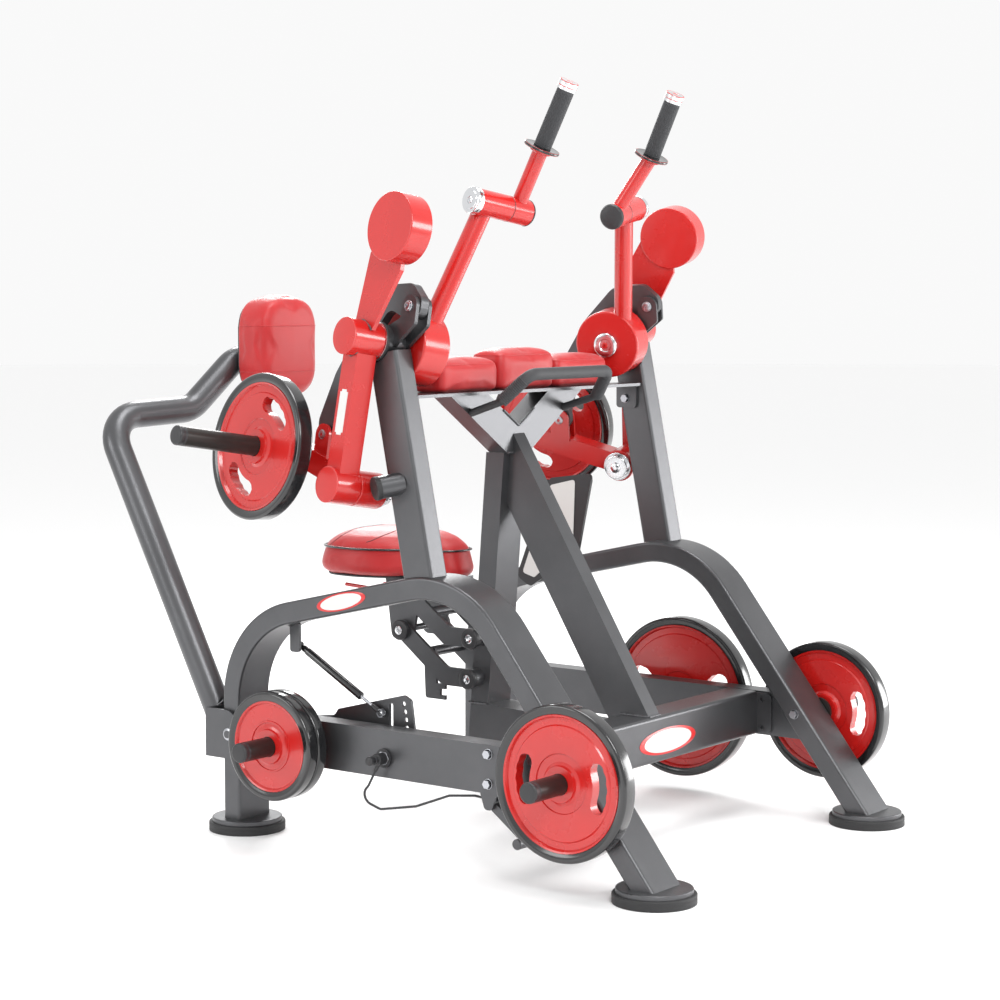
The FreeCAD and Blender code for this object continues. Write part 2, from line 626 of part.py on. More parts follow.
def lever(name, side):
    hub = lever_turned(name + "_hub", side, ring("hub_in", "hub_out", 10, "hub_radius", 3))
    upper = lever_piece(name + "_upper_plate", side, [[
        (23, 40), (-5, 210), (-38, 262), (-129, 262), (-129, 167), (-45, 20)]], 205, 217)
    weight = lever_turned(name + "_counterweight", side,
                          ring("weight_in", "weight_out", 0, "weight_radius", 3), "weight_y", "weight_z")
    lower = lever_piece(name + "_lower_tube", side, [[(30, -26), (42, -340), (-12, -340), (-25, -26)]],
                        176, 236, hollow=[(27, -52), (37, -315), (-7, -315), (-22, -52)])
    foot = lever_turned(name + "_lower_hub", side, ring("elbow_mid", "elbow_out", 8, "elbow_radius", 3),
                        "elbow_y", "elbow_z")
    body = fuse(name + "_lever_blank", [hub, upper, weight, lower, foot])
    body = drilled(name + "_lever_bored", body, side, 0, 0, "shaft_radius", 160, 240)
    return drilled(name + "_lever_drilled", body, side, "elbow_y", "elbow_z", "elbow_pin", 160, 235)


def pins(name, side):
    """The main shaft with its seal collar and end cap, and the pin of the lower hub."""
    shaft = lever_turned(name + "_main_shaft", side, [
        (-8, 0), (-8, 33, 2), (0, 33), (0, "shaft_radius"), ("housing_out + 0.5", "shaft_radius"),
        ("housing_out + 0.5", 50, 2), ("hub_in", 50, 2), ("hub_in", "shaft_radius"),
        (240, "shaft_radius"), (240, 0)])
    pin = lever_turned(name + "_arm_pin", side, [
        (62, 0), (62, 34, 3), (76, 34), (76, 40, 2), ("elbow_in - 0.4", 40, 2),
        ("elbow_in - 0.4", "elbow_pin"), (235, "elbow_pin"), (235, 0)], "elbow_y", "elbow_z")
    return group(name + "_pin_pair", [shaft, pin])


def handle_arm(name, side):
    drum = lever_turned(name + "_drum", side, ring(0, "drum_width", 10, "drum_radius", 5))
    low = Vector(side * 34, -38.3, 46.6)
    high = Vector(side * -54, -95, 377)
    tube = rod(name + "_handle_tube", low, high, 25)
    knuckle = lever_turned(name + "_knuckle", side,
                           ring("swivel_seam", "swivel_out", 4, "swivel_radius", 2),
                           "swivel_y", "swivel_z")
    pin = lever_turned(name + "_swivel_pin", side, [
        ("swivel_in", 0), ("swivel_in", 12), ("swivel_out", 12), ("swivel_out", "swivel_radius"),
        ("swivel_out + 18", "swivel_radius", 3), ("swivel_out + 18", 0)], "swivel_y", "swivel_z")
    body = fuse(name + "_handle_blank", [drum, tube, knuckle, pin])
    return drilled(name + "_handle_bored", body, side, 0, 0, "shaft_radius", -5, 95)


def grip_line(side):
    """Where the hand guard sits on a swivel handle, and the direction of the grip from there."""
    guard = Vector(side * -119, -206, 524)
    return guard, (Vector(side * -117, -274, 669) - guard).normalize()


def swivel_handle(name, side):
    knuckle = lever_turned(name + "_swivel_half", side, [
        ("swivel_in - 3", 0), ("swivel_in - 3", 29), ("swivel_in", "swivel_radius", 1),
        ("swivel_seam - 0.4", "swivel_radius", 2), ("swivel_seam - 0.4", 0)], "swivel_y", "swivel_z")
    root = Vector(side * -146, value("swivel_y"), value("swivel_z") + 8)
    guard, way = grip_line(side)
    tip = guard + way * value("grip_length")
    cap_start = tip - way * value("grip_cap_length")
    tube = rod(name + "_swivel_tube", root, guard + way * 3, "handle_tube_radius")
    disc = rod(name + "_hand_guard", guard, guard + way * value("guard_thick"), "guard_radius")
    core = rod(name + "_grip_core", guard, cap_start + way * 4, "grip_bore")
    cap = rod(name + "_end_cap", cap_start, tip, "grip_cap_radius")
    body = fuse(name + "_swivel_blank", [knuckle, tube, disc, core, cap])
    return drilled(name + "_swivel_bored", body, side, "swivel_y", "swivel_z", "12 + fit",
                   "swivel_in - 0.4", "swivel_seam + 5")


def grip(name, side):
    guard, way = grip_line(side)
    start = guard + way * (value("guard_thick") + 0.2)
    stop = guard + way * (value("grip_length") - value("grip_cap_length") - 0.2)
    sleeve = rod(name + "_grip_sleeve", start, stop, "grip_radius")
    bore = rod(name + "_grip_bore", guard, stop + way * 5, "grip_bore")
    return cut(name + "_grip_tube", sleeve, bore)


def weight_arm(name, side):
    hub = lever_turned(name + "_arm_hub", side,
                       ring("elbow_in", "elbow_mid - 0.4", 8, "elbow_radius", 3), "elbow_y", "elbow_z")
    start, stop = ("elbow_y", "elbow_z"), (320, -280)
    tube = lever_piece(name + "_arm_tube", side, [strip(start, stop, 27.5)], 101, 156,
                       hollow=strip(start, stop, "27.5 - wall", 50))
    low, high = "arm_joint_z - 62", "arm_joint_z + clevis_radius"
    near, far = "arm_joint_y - clevis_radius", "arm_joint_y + clevis_radius"
    outline = [(near, low), (far, "arm_joint_z - 55"), (far, high, "clevis_radius - 0.5"),
               (near, high, "clevis_radius - 0.5")]
    ears = [lever_piece(name + "_arm_ear_" + tag, side, [outline], inner, outer)
            for tag, inner, outer in (("in", 95, 103), ("out", 135, 143))]
    pin = lever_turned(name + "_open_pin", side, ring(92, 146, 0, 8), "arm_joint_y", "arm_joint_z")
    body = fuse(name + "_arm_blank", [hub, tube, pin] + ears)
    return drilled(name + "_arm_drilled", body, side, "elbow_y", "elbow_z", "elbow_pin + fit", 80, 180)


def weight_horn(name, side):
    """The collar, the stretch that carries the loaded plate, and the free sleeve to its cap."""
    return lever_turned(name + "_horn", side, [
        (156, 0), (156, 42, 2), (168, 42, 2), (168, "horn_radius - 0.5"),
        ("plate_seat", "horn_radius - 0.5"), ("plate_seat", "horn_radius"),
        ("horn_tip - 22", "horn_radius"), ("horn_tip - 22", "horn_radius - 0.5"),
        ("horn_tip", "horn_radius - 0.5", 6), ("horn_tip", 0)], "horn_y", "horn_z")


def curved_link(name, side):
    outline = [(-118, 64, 24), (-118, 112, 24), (-76, 150, 30), (14, 146, 60), (105, 52, 60),
               (190, -80, 60), (237, -199, 40), (230, -266, 26), (172, -266, 26), (172, -215, 40),
               (140, -110, 60), (62, 10, 40), (4, 86, 30), (-50, 66, 20)]
    return lever_piece(name + "_link_blank", side, [
        outline, ("clevis_y", "clevis_z", "seat_pin_radius + fit"),
        ("arm_joint_y", "arm_joint_z", "elbow_pin")], "link_in", "link_out")


LEVER_PARTS = {"lever": lever, "shafts": pins, "handle_arm": handle_arm,
               "swivel_handle": swivel_handle, "grip": grip, "weight_arm": weight_arm,
               "weight_horn": weight_horn, "curved_link": curved_link}
for name, side in SIDES.items():
    for part_name, make in LEVER_PARTS.items():
        keep(make(name, side), name + "_" + part_name, lever_frame(side))

bearings = []
for name, side in SIDES.items():
    for inner, outer in (("housing_in + 1", "housing_in + 20"), ("housing_out - 20", "housing_out - 1")):
        bearings.append(lever_turned(name + "_bearing", side,
                                     ring(inner, outer, "shaft_radius + fit", "shaft_radius + 12")))
    bearings.append(lever_turned(name + "_link_pin", side, [
        (90, 0), (90, 14, 2), (93.8, 14), (93.8, "seat_pin_radius"), (144.2, "seat_pin_radius"),
        (144.2, 14), (148, 14, 2), (148, 0)], "clevis_y", "clevis_z"))
    for bearing in bearings[-3:]:
        moved(bearing, lever_frame(side))
keep(group("bearing_set", bearings), "pivot_bearings")


# ------------------------------------------------------------------ weight plates and their horns
def weight_plate(label, radius, width, x, y, z, slots, turn=0):
    """A dished plate with a raised rim, hub and, on the larger ones, two handle slots."""
    start = x - width / 2
    web = 0.27 * width
    body = turned(label + "_blank", [
        (0, 26), (0, 44, 2), (web, 50, 2), (web, radius - 34, 2), (0, radius - 26, 2),
        (0, radius, 6), (width, radius, 6), (width, radius - 26, 2), (width - web, radius - 34, 2),
        (width - web, 50, 2), (width, 44, 2), (width, 26)], at=(start, y, z))
    if not slots:
        return body
    tools = []
    for angle in (turn - 34, turn + 146):
        sectors = []
        for size in (radius - 48, 86):
            wedge = doc.addObject("Part::Cylinder", label + "_wedge")
            wedge.Radius = size
            wedge.Height = width + 20
            wedge.Angle = 68
            sectors.append(wedge)
        tool = cut(label + "_slot", *sectors)
        spin = Rotation(Vector(1, 0, 0), angle)
        tool.Placement = Placement(Vector(start - 10, y, z), spin.multiply(ALONG_X))
        tools.append(tool)
    return cut(label + "_slotted", cut(label + "_first", body, tools[0]), tools[1])


HORN_RESTS = {"left_front": (-1, 577, -456, 274), "left_rear": (-1, 565, 440, 262),
              "right_front": (1, 577, -456, 274), "right_mid": (1, 565, 5, 265)}
horns = []
for name, (side, base, y, z) in HORN_RESTS.items():
    horns.append(turned(name + "_rest", [
        (side * base, 0), (side * base, 38), (side * (base + 8), 38),
        (side * (base + 8), "horn_radius"), (side * 743, "horn_radius"),
        (side * 743, "horn_radius - 0.5"), (side * 765, "horn_radius - 0.5", 6), (side * 765, 0)],
        at=(0, y, z)))
keep(group("storage_horn_set", horns), "storage_horns")

big, middle, small = value("big_plate_radius"), value("plate_radius"), value("small_plate_radius")
wide, narrow = value("plate_width"), value("small_plate_width")
keep(weight_plate("left_front", middle, wide, -620, -456, 274, True), "left_front_plate")
keep(weight_plate("right_front", middle, wide, 620, -456, 274, True), "right_front_plate")
keep(weight_plate("right_mid", big, wide, 612, 5, 265, True), "right_mid_plate")
keep(group("left_rear_pair", [weight_plate("left_rear_in", small, narrow, -602, 440, 262, False),
                              weight_plate("left_rear_out", small, narrow, -638, 440, 262, False)]),
     "left_rear_plates")
for name, side in SIDES.items():
    plate = weight_plate(name + "_arm", middle, wide, side * 258, value("horn_y"), value("horn_z"), True,
                         turn=-57)
    keep(plate, name + "_arm_plate", lever_frame(side))


# ------------------------------------------------------------------ chest pads, grab handle, placard
def pad(label, outline, height, edge, base):
    block = prism(label, [outline], height, at=(0, 0, base))
    return rounded(block, edge, lambda line: all(point.Z > height - 1 for point in line.Vertexes))


TIE_TOP = "brace_top + tie_thick + 0.3"
keep(pad("center_pad", rectangle(-123, 97, 123, 207, 30), 105, 24, TIE_TOP), "center_chest_pad")
keep(group("side_pad_pair", [pad("left_side_pad", rectangle(-374, 97, -127, 207, 30), 86, 20, TIE_TOP),
                             pad("right_side_pad", rectangle(127, 97, 374, 207, 30), 86, 20, TIE_TOP)]),
     "side_chest_pads")

HANDLE_TURNS = [(-214, 30, 1133), (-176, -34, 1203), (176, -34, 1203), (214, 30, 1133)]
grab_bar = fuse("grab_handle_bar", [
    swept("grab_core", [(-205, 136, 1100)] + HANDLE_TURNS + [(205, 136, 1100)], 26, 10),
    swept("grab_rubber", HANDLE_TURNS, 36, 16)])
keep(cut("grab_handle_fitted", grab_bar, prism("grab_trim", [
    rectangle(-260, "brace_front_y", 260, 220)], 120, at=(0, 0, 1050))), "grab_handle")

keep(prism("placard_plate", [[(200, 905, 22), (352, 884, 22), (470, 590, 20), (420, 560, 12),
                              (250, 670, 12)]], 10, at=(446.5, 0, 0), turn=ALONG_X), "placard")


# ------------------------------------------------------------------ seat
def seat_link_plate(label, y, z, x):
    """An S-shaped plate: level beside the front pivot, then rising to the rear one."""
    outline = [("%s - 25" % y, "%s - 25" % z, 24.5), ("%s + 93.5" % y, "%s - 25" % z, 30),
               ("%s + seat_run_y + 35" % y, "%s + seat_run_z - 4.7" % z, 24.5),
               ("%s + seat_run_y + 4.7" % y, "%s + seat_run_z + 35" % z, 24.5),
               ("%s + 76.5" % y, "%s + 25" % z, 30), ("%s - 25" % y, "%s + 25" % z, 24.5)]
    bore = "seat_pin_radius + fit"
    return prism(label, [outline, (y, z, bore),
                         ("%s + seat_run_y" % y, "%s + seat_run_z" % z, bore)], 10,
                 at=(x, 0, 0), turn=ALONG_X)


def seat_link(label, y, z, extra=()):
    plates = [seat_link_plate(label + "_plate", y, z, x) for x in ("seat_link_in + 0.4",
                                                                   "-seat_link_in - 10.4")]
    brace_rod = across_rod(label + "_spacer", "seat_link_in + 5", "%s + 152" % y, "%s + 57" % z, 14)
    return fuse(label + "_weldment", plates + [brace_rod] + list(extra))


keep(seat_link("upper_link", "seat_pivot_y", "seat_pivot_z"), "seat_upper_link")
catch = prism("link_catch", [[(362, 450), (402, 450), (396, 313, 8), (328, 313), (328, 325),
                              (345, 325), (345, 342), (328, 342), (328, 356), (358, 356)]], 8,
              at=("-seat_link_in + 6", 0, 0), turn=ALONG_X)
keep(seat_link("lower_link", "seat_low_y", "seat_low_z", [catch]), "seat_lower_link")

rear_upper = ("seat_pivot_y + seat_run_y", "seat_pivot_z + seat_run_z")
rear_lower = ("seat_low_y + seat_run_y", "seat_low_z + seat_run_z")
RELEASE_AT = (506, 600)
carrier_parts = []
for tag, x in (("left", "-seat_link_in"), ("right", "seat_link_in - 10")):
    carrier_parts.append(prism("carrier_" + tag, [[
        (418, 632), (530, 632), (508, 466, 20), (438, 466, 20), (418, 560)]], 10,
        at=(x, 0, 0), turn=ALONG_X))
carrier_parts.append(prism("carrier_top", [rectangle("-seat_link_in", 330, "seat_link_in", 690, 20)],
                           8, at=(0, 0, 631.6)))
for tag, (y, z) in (("upper", rear_upper), ("lower", rear_lower)):
    carrier_parts += capped_pin("carrier_pin_" + tag, y, z)
carrier_parts.append(turned("release_pivot", ring(-108, -66, 0, 5), at=(0,) + RELEASE_AT))
keep(fuse("carrier_weldment", carrier_parts), "seat_carrier")

seat_outline = [(-165, 753, 120), (165, 753, 120), (172, 520, 110), (62, 295, 50), (-62, 295, 50),
                (-172, 520, 110)]
crown_outline = [(-125, 715, 100), (125, 715, 100), (132, 540, 90), (40, 345, 30), (-40, 345, 30),
                 (-132, 540, 90)]
keep(fuse("cushion_solid", [prism("cushion_base", [seat_outline], 90, at=(0, 0, "seat_base_z")),
                            prism("cushion_crown", [crown_outline], 40, at=(0, 0, "seat_base_z + 88"))]),
     "seat_cushion")
release = fuse("release_handle", [
    turned("release_hub", ring(-105, -92, 0, 12, 2), at=(0,) + RELEASE_AT),
    prism("release_tab", [rectangle(494, 594, 518, 624, 6)], 6, at=(-101, 0, 0), turn=ALONG_X),
    rod("release_rod", (-98, 506, 600), (-112, 640, 610), 5)])
keep(cut("release_bored", release, turned("release_bore", ring(-110, -60, 0, "5 + fit"),
                                          at=(0,) + RELEASE_AT)), "seat_release_lever")


# ------------------------------------------------------------------ backrest
WEB_REAR = 721
BACK_TUBE = [(-517, 700, 229), (-517, 1150, 1070), (-235, 1104, 1084), (-80, 1090, 1212),
             (30, 1087, 1243)]
tube = cut("back_tube_trimmed",
           swept("back_tube", BACK_TUBE, 95, value("back_arm_radius"),
                 value("back_arm_radius - wall")),
           prism("back_tube_end", [rectangle(-570, 600, -460, WEB_REAR)], 300, at=(0, 0, 100)))
mount = prism("back_mount", [rectangle(-80, 1150, 80, 1350, 20)], 8,
              start="-back_pad_y - back_pad_thick - 8.3", turn=ALONG_Y)
neck = rod("back_neck", (0, 1044, 1240), (0, 1065, 1240), 30)
way = (Vector(*BACK_TUBE[-1]) - Vector(*BACK_TUBE[-2])).normalize()
lid = rod("back_tube_lid", Vector(*BACK_TUBE[-1]), Vector(*BACK_TUBE[-1]) + way * 4, "back_arm_radius")
keep(fuse("back_arm_weldment", [tube, mount, neck, lid]), "back_arm")

pivot = ("back_pivot_y", "back_pivot_z")
outer_plate = prism("bracket_outer", [[(610, 197, 20), (WEB_REAR, 197), (WEB_REAR, 325), (610, 325, 40)]],
                    8, at=(-588, 0, 0), turn=ALONG_X)
web = prism("bracket_web", [rectangle(-588, 197, -444, 325)], 9, start=-WEB_REAR, turn=ALONG_Y)
inner_plate = prism("bracket_inner", [[(535, 222, 12), (WEB_REAR, 197), (WEB_REAR, 325), (535, 302, 12)]],
                    8, at=(-452, 0, 0), turn=ALONG_X)
spacer = prism("bracket_spacer", [rectangle(540, 230, 595, 294)], 14, at=(-466, 0, 0), turn=ALONG_X)
hinge_pin = turned("bracket_pin", ring(-594, -440, 0, "seat_pin_radius + 1"), at=(0,) + pivot)
keep(fuse("bracket_weldment", [outer_plate, web, inner_plate, spacer, hinge_pin]), "back_bracket")

notches = []
for count in range(7):
    angle = math.radians(value("notch_step") * count - 0.67)
    notches.append(("back_pivot_y - notch_reach * %.9f" % math.cos(angle),
                    "back_pivot_z + notch_reach * %.9f" % math.sin(angle), "plunger_radius + 0.6"))
slot = rectangle("stud_y - 28", "stud_z - 38", "stud_y - 16", "stud_z + 26", 5.9)
plate = prism("adjuster_blank", [[
    (597, 226, 10), (597, 298, 10), (372, 325, 20), (360, 343, 10), (142, 400, 14), (119, 389, 10),
    (108, 310, 200), (104, 226, 14)], slot] + notches, 8, at=(-474, 0, 0), turn=ALONG_X)
stud = turned("adjuster_stud", ring("-ball_x - 8", -472, 0, 4), at=(0, "stud_y", "stud_z"))
keep(fuse("adjuster_weldment", [plate, stud]), "adjuster_plate")

back_cushion = prism("back_cushion", [[
    ("-back_pad_half", "back_pad_low", 48), ("back_pad_half", "back_pad_low", 48),
    ("back_pad_half", "back_pad_high", 66), ("-back_pad_half", "back_pad_high", 66)]],
    "back_pad_thick", start="-back_pad_y - back_pad_thick", turn=ALONG_Y)
keep(rounded(back_cushion, 16, lambda line: all(abs(point.Z + value("back_pad_y")) < 1
                                                for point in line.Vertexes)), "back_pad")

# The gas spring: its line runs from the top ball towards the stud on the adjuster plate.
top = Vector(-value("ball_x"), value("spring_top_y"), value("spring_top_z"))
stud_end = Vector(-value("ball_x"), value("stud_y"), value("stud_z"))
way = (stud_end - top).normalize()
barrel = [(8, 0), (8, 6), (30, 6), (30, 10, 1), (235, 10, 2), (235, "spring_rod"), (20, "spring_rod"),
          (20, 0)]
cylinder = turned("gas_barrel", barrel, at=("-ball_x", "spring_top_y", "spring_top_z"),
                  turn=Rotation(Vector(1, 0, 0), way))
eye = cut("gas_eye_ring", turned("gas_eye", ring("-ball_x - 5", "-ball_x + 5", 0, 9),
                                 at=(0, "spring_top_y", "spring_top_z")),
          turned("gas_eye_bore", ring("-ball_x - 9", "-ball_x + 9", 0, "4 + fit"),
                 at=(0, "spring_top_y", "spring_top_z")))
keep(fuse("gas_cylinder_weldment", [cylinder, eye]), "gas_cylinder")
rod_bar = rod("gas_rod_bar", top + way * 90, stud_end - way * 10, "spring_rod - fit")
fork = rod("gas_rod_fitting", stud_end - way * 30, stud_end - way * 9, 6)
socket = cut("gas_socket", turned("gas_socket_ring", ring("-ball_x - 5", "-ball_x + 5", 0, 11),
                                  at=(0, "stud_y", "stud_z")),
             turned("gas_socket_bore", ring("-ball_x - 9", "-ball_x + 9", 0, 8),
                    at=(0, "stud_y", "stud_z")))
keep(fuse("gas_rod_weldment", [rod_bar, fork, socket]), "gas_rod")

PLUNGER_AT = (0, "plunger_y", "plunger_z")
CABLE = [(-591, 139, 226), (-593, 160, 186), (-590, 196, 152), (-585, 128, 130), (-578, 20, 150),
         (-562, -72, 186), (-548, -140, 192), (-540, -161.5, 188)]
CABLE_BEND = 24
sleeve = fuse("plunger_weldment", [
    turned("plunger_sleeve", [(-565, "plunger_radius + fit"), (-565, 24), (-572, 24), (-572, 15, 2),
                              (-600, 15, 3), (-600, "plunger_radius + fit")], at=PLUNGER_AT),
    rod("cable_gland", (-589.9, 127.45, 248), CABLE[0], 5)])
keep(cut("plunger_bored", sleeve, turned("plunger_way", ring(-620, -560, 0, "plunger_radius + fit"),
                                         at=PLUNGER_AT)), "plunger_housing")
keep(turned("plunger_rod", [(-628, 0), (-628, 11, 3), (-612, 11), (-612, "plunger_radius"),
                            (-478, "plunger_radius"), (-478, 0)], at=PLUNGER_AT), "plunger_pin")


# ------------------------------------------------------------------ pedal and its cable
keep(fuse("pedal_hanger_weldment", [
    prism("pedal_plate", [rectangle(-560, -226, -510, -162, 6)], 6, at=(0, 0, 200)),
    prism("pedal_cheek_out", [[(-212, 201), (-166, 201), (-178, 164, 12), (-200, 164, 12)]], 6,
          at=(-560, 0, 0), turn=ALONG_X),
    prism("pedal_cheek_in", [[(-212, 201), (-166, 201), (-178, 164, 12), (-200, 164, 12)]], 6,
          at=(-516, 0, 0), turn=ALONG_X),
    turned("pedal_axle", ring(-560, -510, 0, 6), at=(0, -189, 178))]), "pedal_hanger")
pedal = fuse("pedal_blank", [
    prism("pedal_arm", [strip((-189, 178), (-296, 100), 11)], 30, at=(-550, 0, 0), turn=ALONG_X),
    turned("pedal_tread", ring(-590, -495, 0, 13, 2), at=(0, -296, 100)),
    turned("pedal_hub", ring(-551, -519, 0, 14), at=(0, -189, 178))])
keep(cut("pedal_bored", pedal, turned("pedal_bore", ring(-600, -480, 0, "6 + fit"), at=(0, -189, 178))),
     "pedal")

keep(swept("cable_tube", CABLE, CABLE_BEND, 3), "release_cable")

bumper = turned("bumper_stop", ring(0, 43, 0, 14, 3),
                at=(-517, "foot_y + arch_depth / 2", 212),
                turn=Rotation(Vector(0, 1, 0), Vector(0, 0, 1), Vector(1, 0, 0), "XYZ"))
keep(bumper, "rubber_bumper")


# ------------------------------------------------------------------ bolts
def hex_bolt(x, y, z, side):
    """A hexagon head with its washer on an upright face, pointing along X to one side."""
    washer = turned("washer", ring(0, "%d" % (side * 2), 0, 12), at=(x, y, z))
    corners = [(11 * math.cos(math.radians(60 * k)), 11 * math.sin(math.radians(60 * k)))
               for k in range(6)]
    start = x + side * 2 if side > 0 else x - 2 - 8
    head = prism("bolt_head", [corners], 8, at=(start, y, z), turn=ALONG_X)
    return fuse("bolt", [washer, head])


BOLT_ROWS = [(565, -193, 303, 1), (565, -193, 230, 1), (565, -325, 303, 1), (565, -325, 230, 1),
             (457, -451, 282, -1), (494, 123, 1114, -1)]
bolts = [hex_bolt(side * x, y, z, side * way_out)
         for side in (-1, 1) for x, y, z, way_out in BOLT_ROWS]
keep(group("bolt_set", bolts), "frame_bolts")


# ------------------------------------------------------------------ checks and export
doc.recompute()
for item in doc.Objects:
    if "Invalid" in item.State or "Error" in item.State:
        raise SystemExit("%s did not recompute: %s" % (item.Label, item.getStatusString()))
os.makedirs("parts", exist_ok=True)
for item in NODES:
    if item.Shape.isNull() or not item.Shape.isValid():
        raise SystemExit(item.Label + " has no valid shape")
    item.Shape.exportStep("parts/%s.step" % item.Label)
print(len(NODES), "sub-parts written")
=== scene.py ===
import json
import math

import bmesh
import bpy
from mathutils import Matrix, Vector
from mathutils.bvhtree import BVHTree


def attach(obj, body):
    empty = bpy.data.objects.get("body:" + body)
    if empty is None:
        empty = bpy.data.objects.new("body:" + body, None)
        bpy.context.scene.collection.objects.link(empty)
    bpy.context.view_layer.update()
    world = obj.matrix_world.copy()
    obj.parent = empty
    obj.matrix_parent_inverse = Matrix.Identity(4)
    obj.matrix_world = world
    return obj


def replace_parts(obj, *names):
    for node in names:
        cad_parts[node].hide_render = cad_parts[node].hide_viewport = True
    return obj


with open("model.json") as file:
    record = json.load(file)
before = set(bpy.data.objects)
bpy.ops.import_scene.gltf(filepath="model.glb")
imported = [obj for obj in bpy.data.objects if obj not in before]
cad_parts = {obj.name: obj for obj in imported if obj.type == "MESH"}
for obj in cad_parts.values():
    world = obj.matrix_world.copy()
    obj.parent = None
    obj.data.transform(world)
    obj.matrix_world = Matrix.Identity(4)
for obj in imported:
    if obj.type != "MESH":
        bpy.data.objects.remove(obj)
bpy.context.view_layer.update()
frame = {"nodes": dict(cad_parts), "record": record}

# ------------------------------------------------------------------ places
# Places are written in millimetres from the floor point midway between the four feet.
FEET_BEHIND_ORIGIN = -216.4
SIDES = {"left": -1, "right": 1}
PIVOT = (400, 124, 1266)
PIVOT_TURN = math.radians(12)
PIVOT_TILT = math.radians(9)
TO_METRES = Matrix.Translation((0, FEET_BEHIND_ORIGIN / 1000, 0)) @ Matrix.Scale(0.001, 4)
ALONG_X = Matrix.Identity(4)
ALONG_Z = Matrix.Rotation(math.radians(-90), 4, "Y")
HALF_TURN = Matrix.Rotation(math.radians(180), 4, "Z")
FACING_FRONT = Matrix.Rotation(math.radians(90), 4, "X")
FACING_LEFT = Matrix.Rotation(math.radians(-90), 4, "Z") @ FACING_FRONT
# The parts of each lever, in its own frame: outward, rearward and up from its pivot.
SWIVEL_Y, SWIVEL_Z = -110, 377
LOW_HUB_Y, LOW_HUB_Z = 21, -365
HORN_Y, HORN_Z = 294, -288
LINK_TOP_Y, LINK_TOP_Z = -88, 91
LINK_FOOT_Y, LINK_FOOT_Z = 200, -238
GUARD_AT, GRIP_AIM = (-119, -206, 524), (-117, -274, 669)
GRIP_LENGTH, GRIP_RIB_PITCH = 182, 3.1


def lever_space(side):
    """Millimetres in a lever's own frame: x outward (mirrored on the left), y rearward, z up."""
    origin = Matrix.Translation((side * PIVOT[0], PIVOT[1], PIVOT[2]))
    spin = Matrix.Rotation(side * PIVOT_TURN, 4, "Z")
    return origin @ spin @ Matrix.Rotation(-side * PIVOT_TILT, 4, "Y")


def sided(side):
    """The turn that points an x axis to the right, or to the left on the left side."""
    return ALONG_X if side > 0 else HALF_TURN


def aimed(start, stop):
    """A frame at start whose x axis points at stop."""
    way = Vector(stop) - Vector(start)
    return Matrix.Translation(start) @ way.to_track_quat("X", "Z").to_matrix().to_4x4()


# ------------------------------------------------------------------ materials
# The colour sockets of the Mix node share their names, so they are picked by number.
MIX_FACTOR, MIX_A, MIX_B, MIX_COLOR_OUT = 0, 6, 7, 2


def node(tree, kind, **values):
    """A shader node with the given socket values and settings."""
    item = tree.nodes.new(kind)
    for name, setting in values.items():
        if name in item.inputs:
            item.inputs[name].default_value = setting
        else:
            setattr(item, name, setting)
    return item


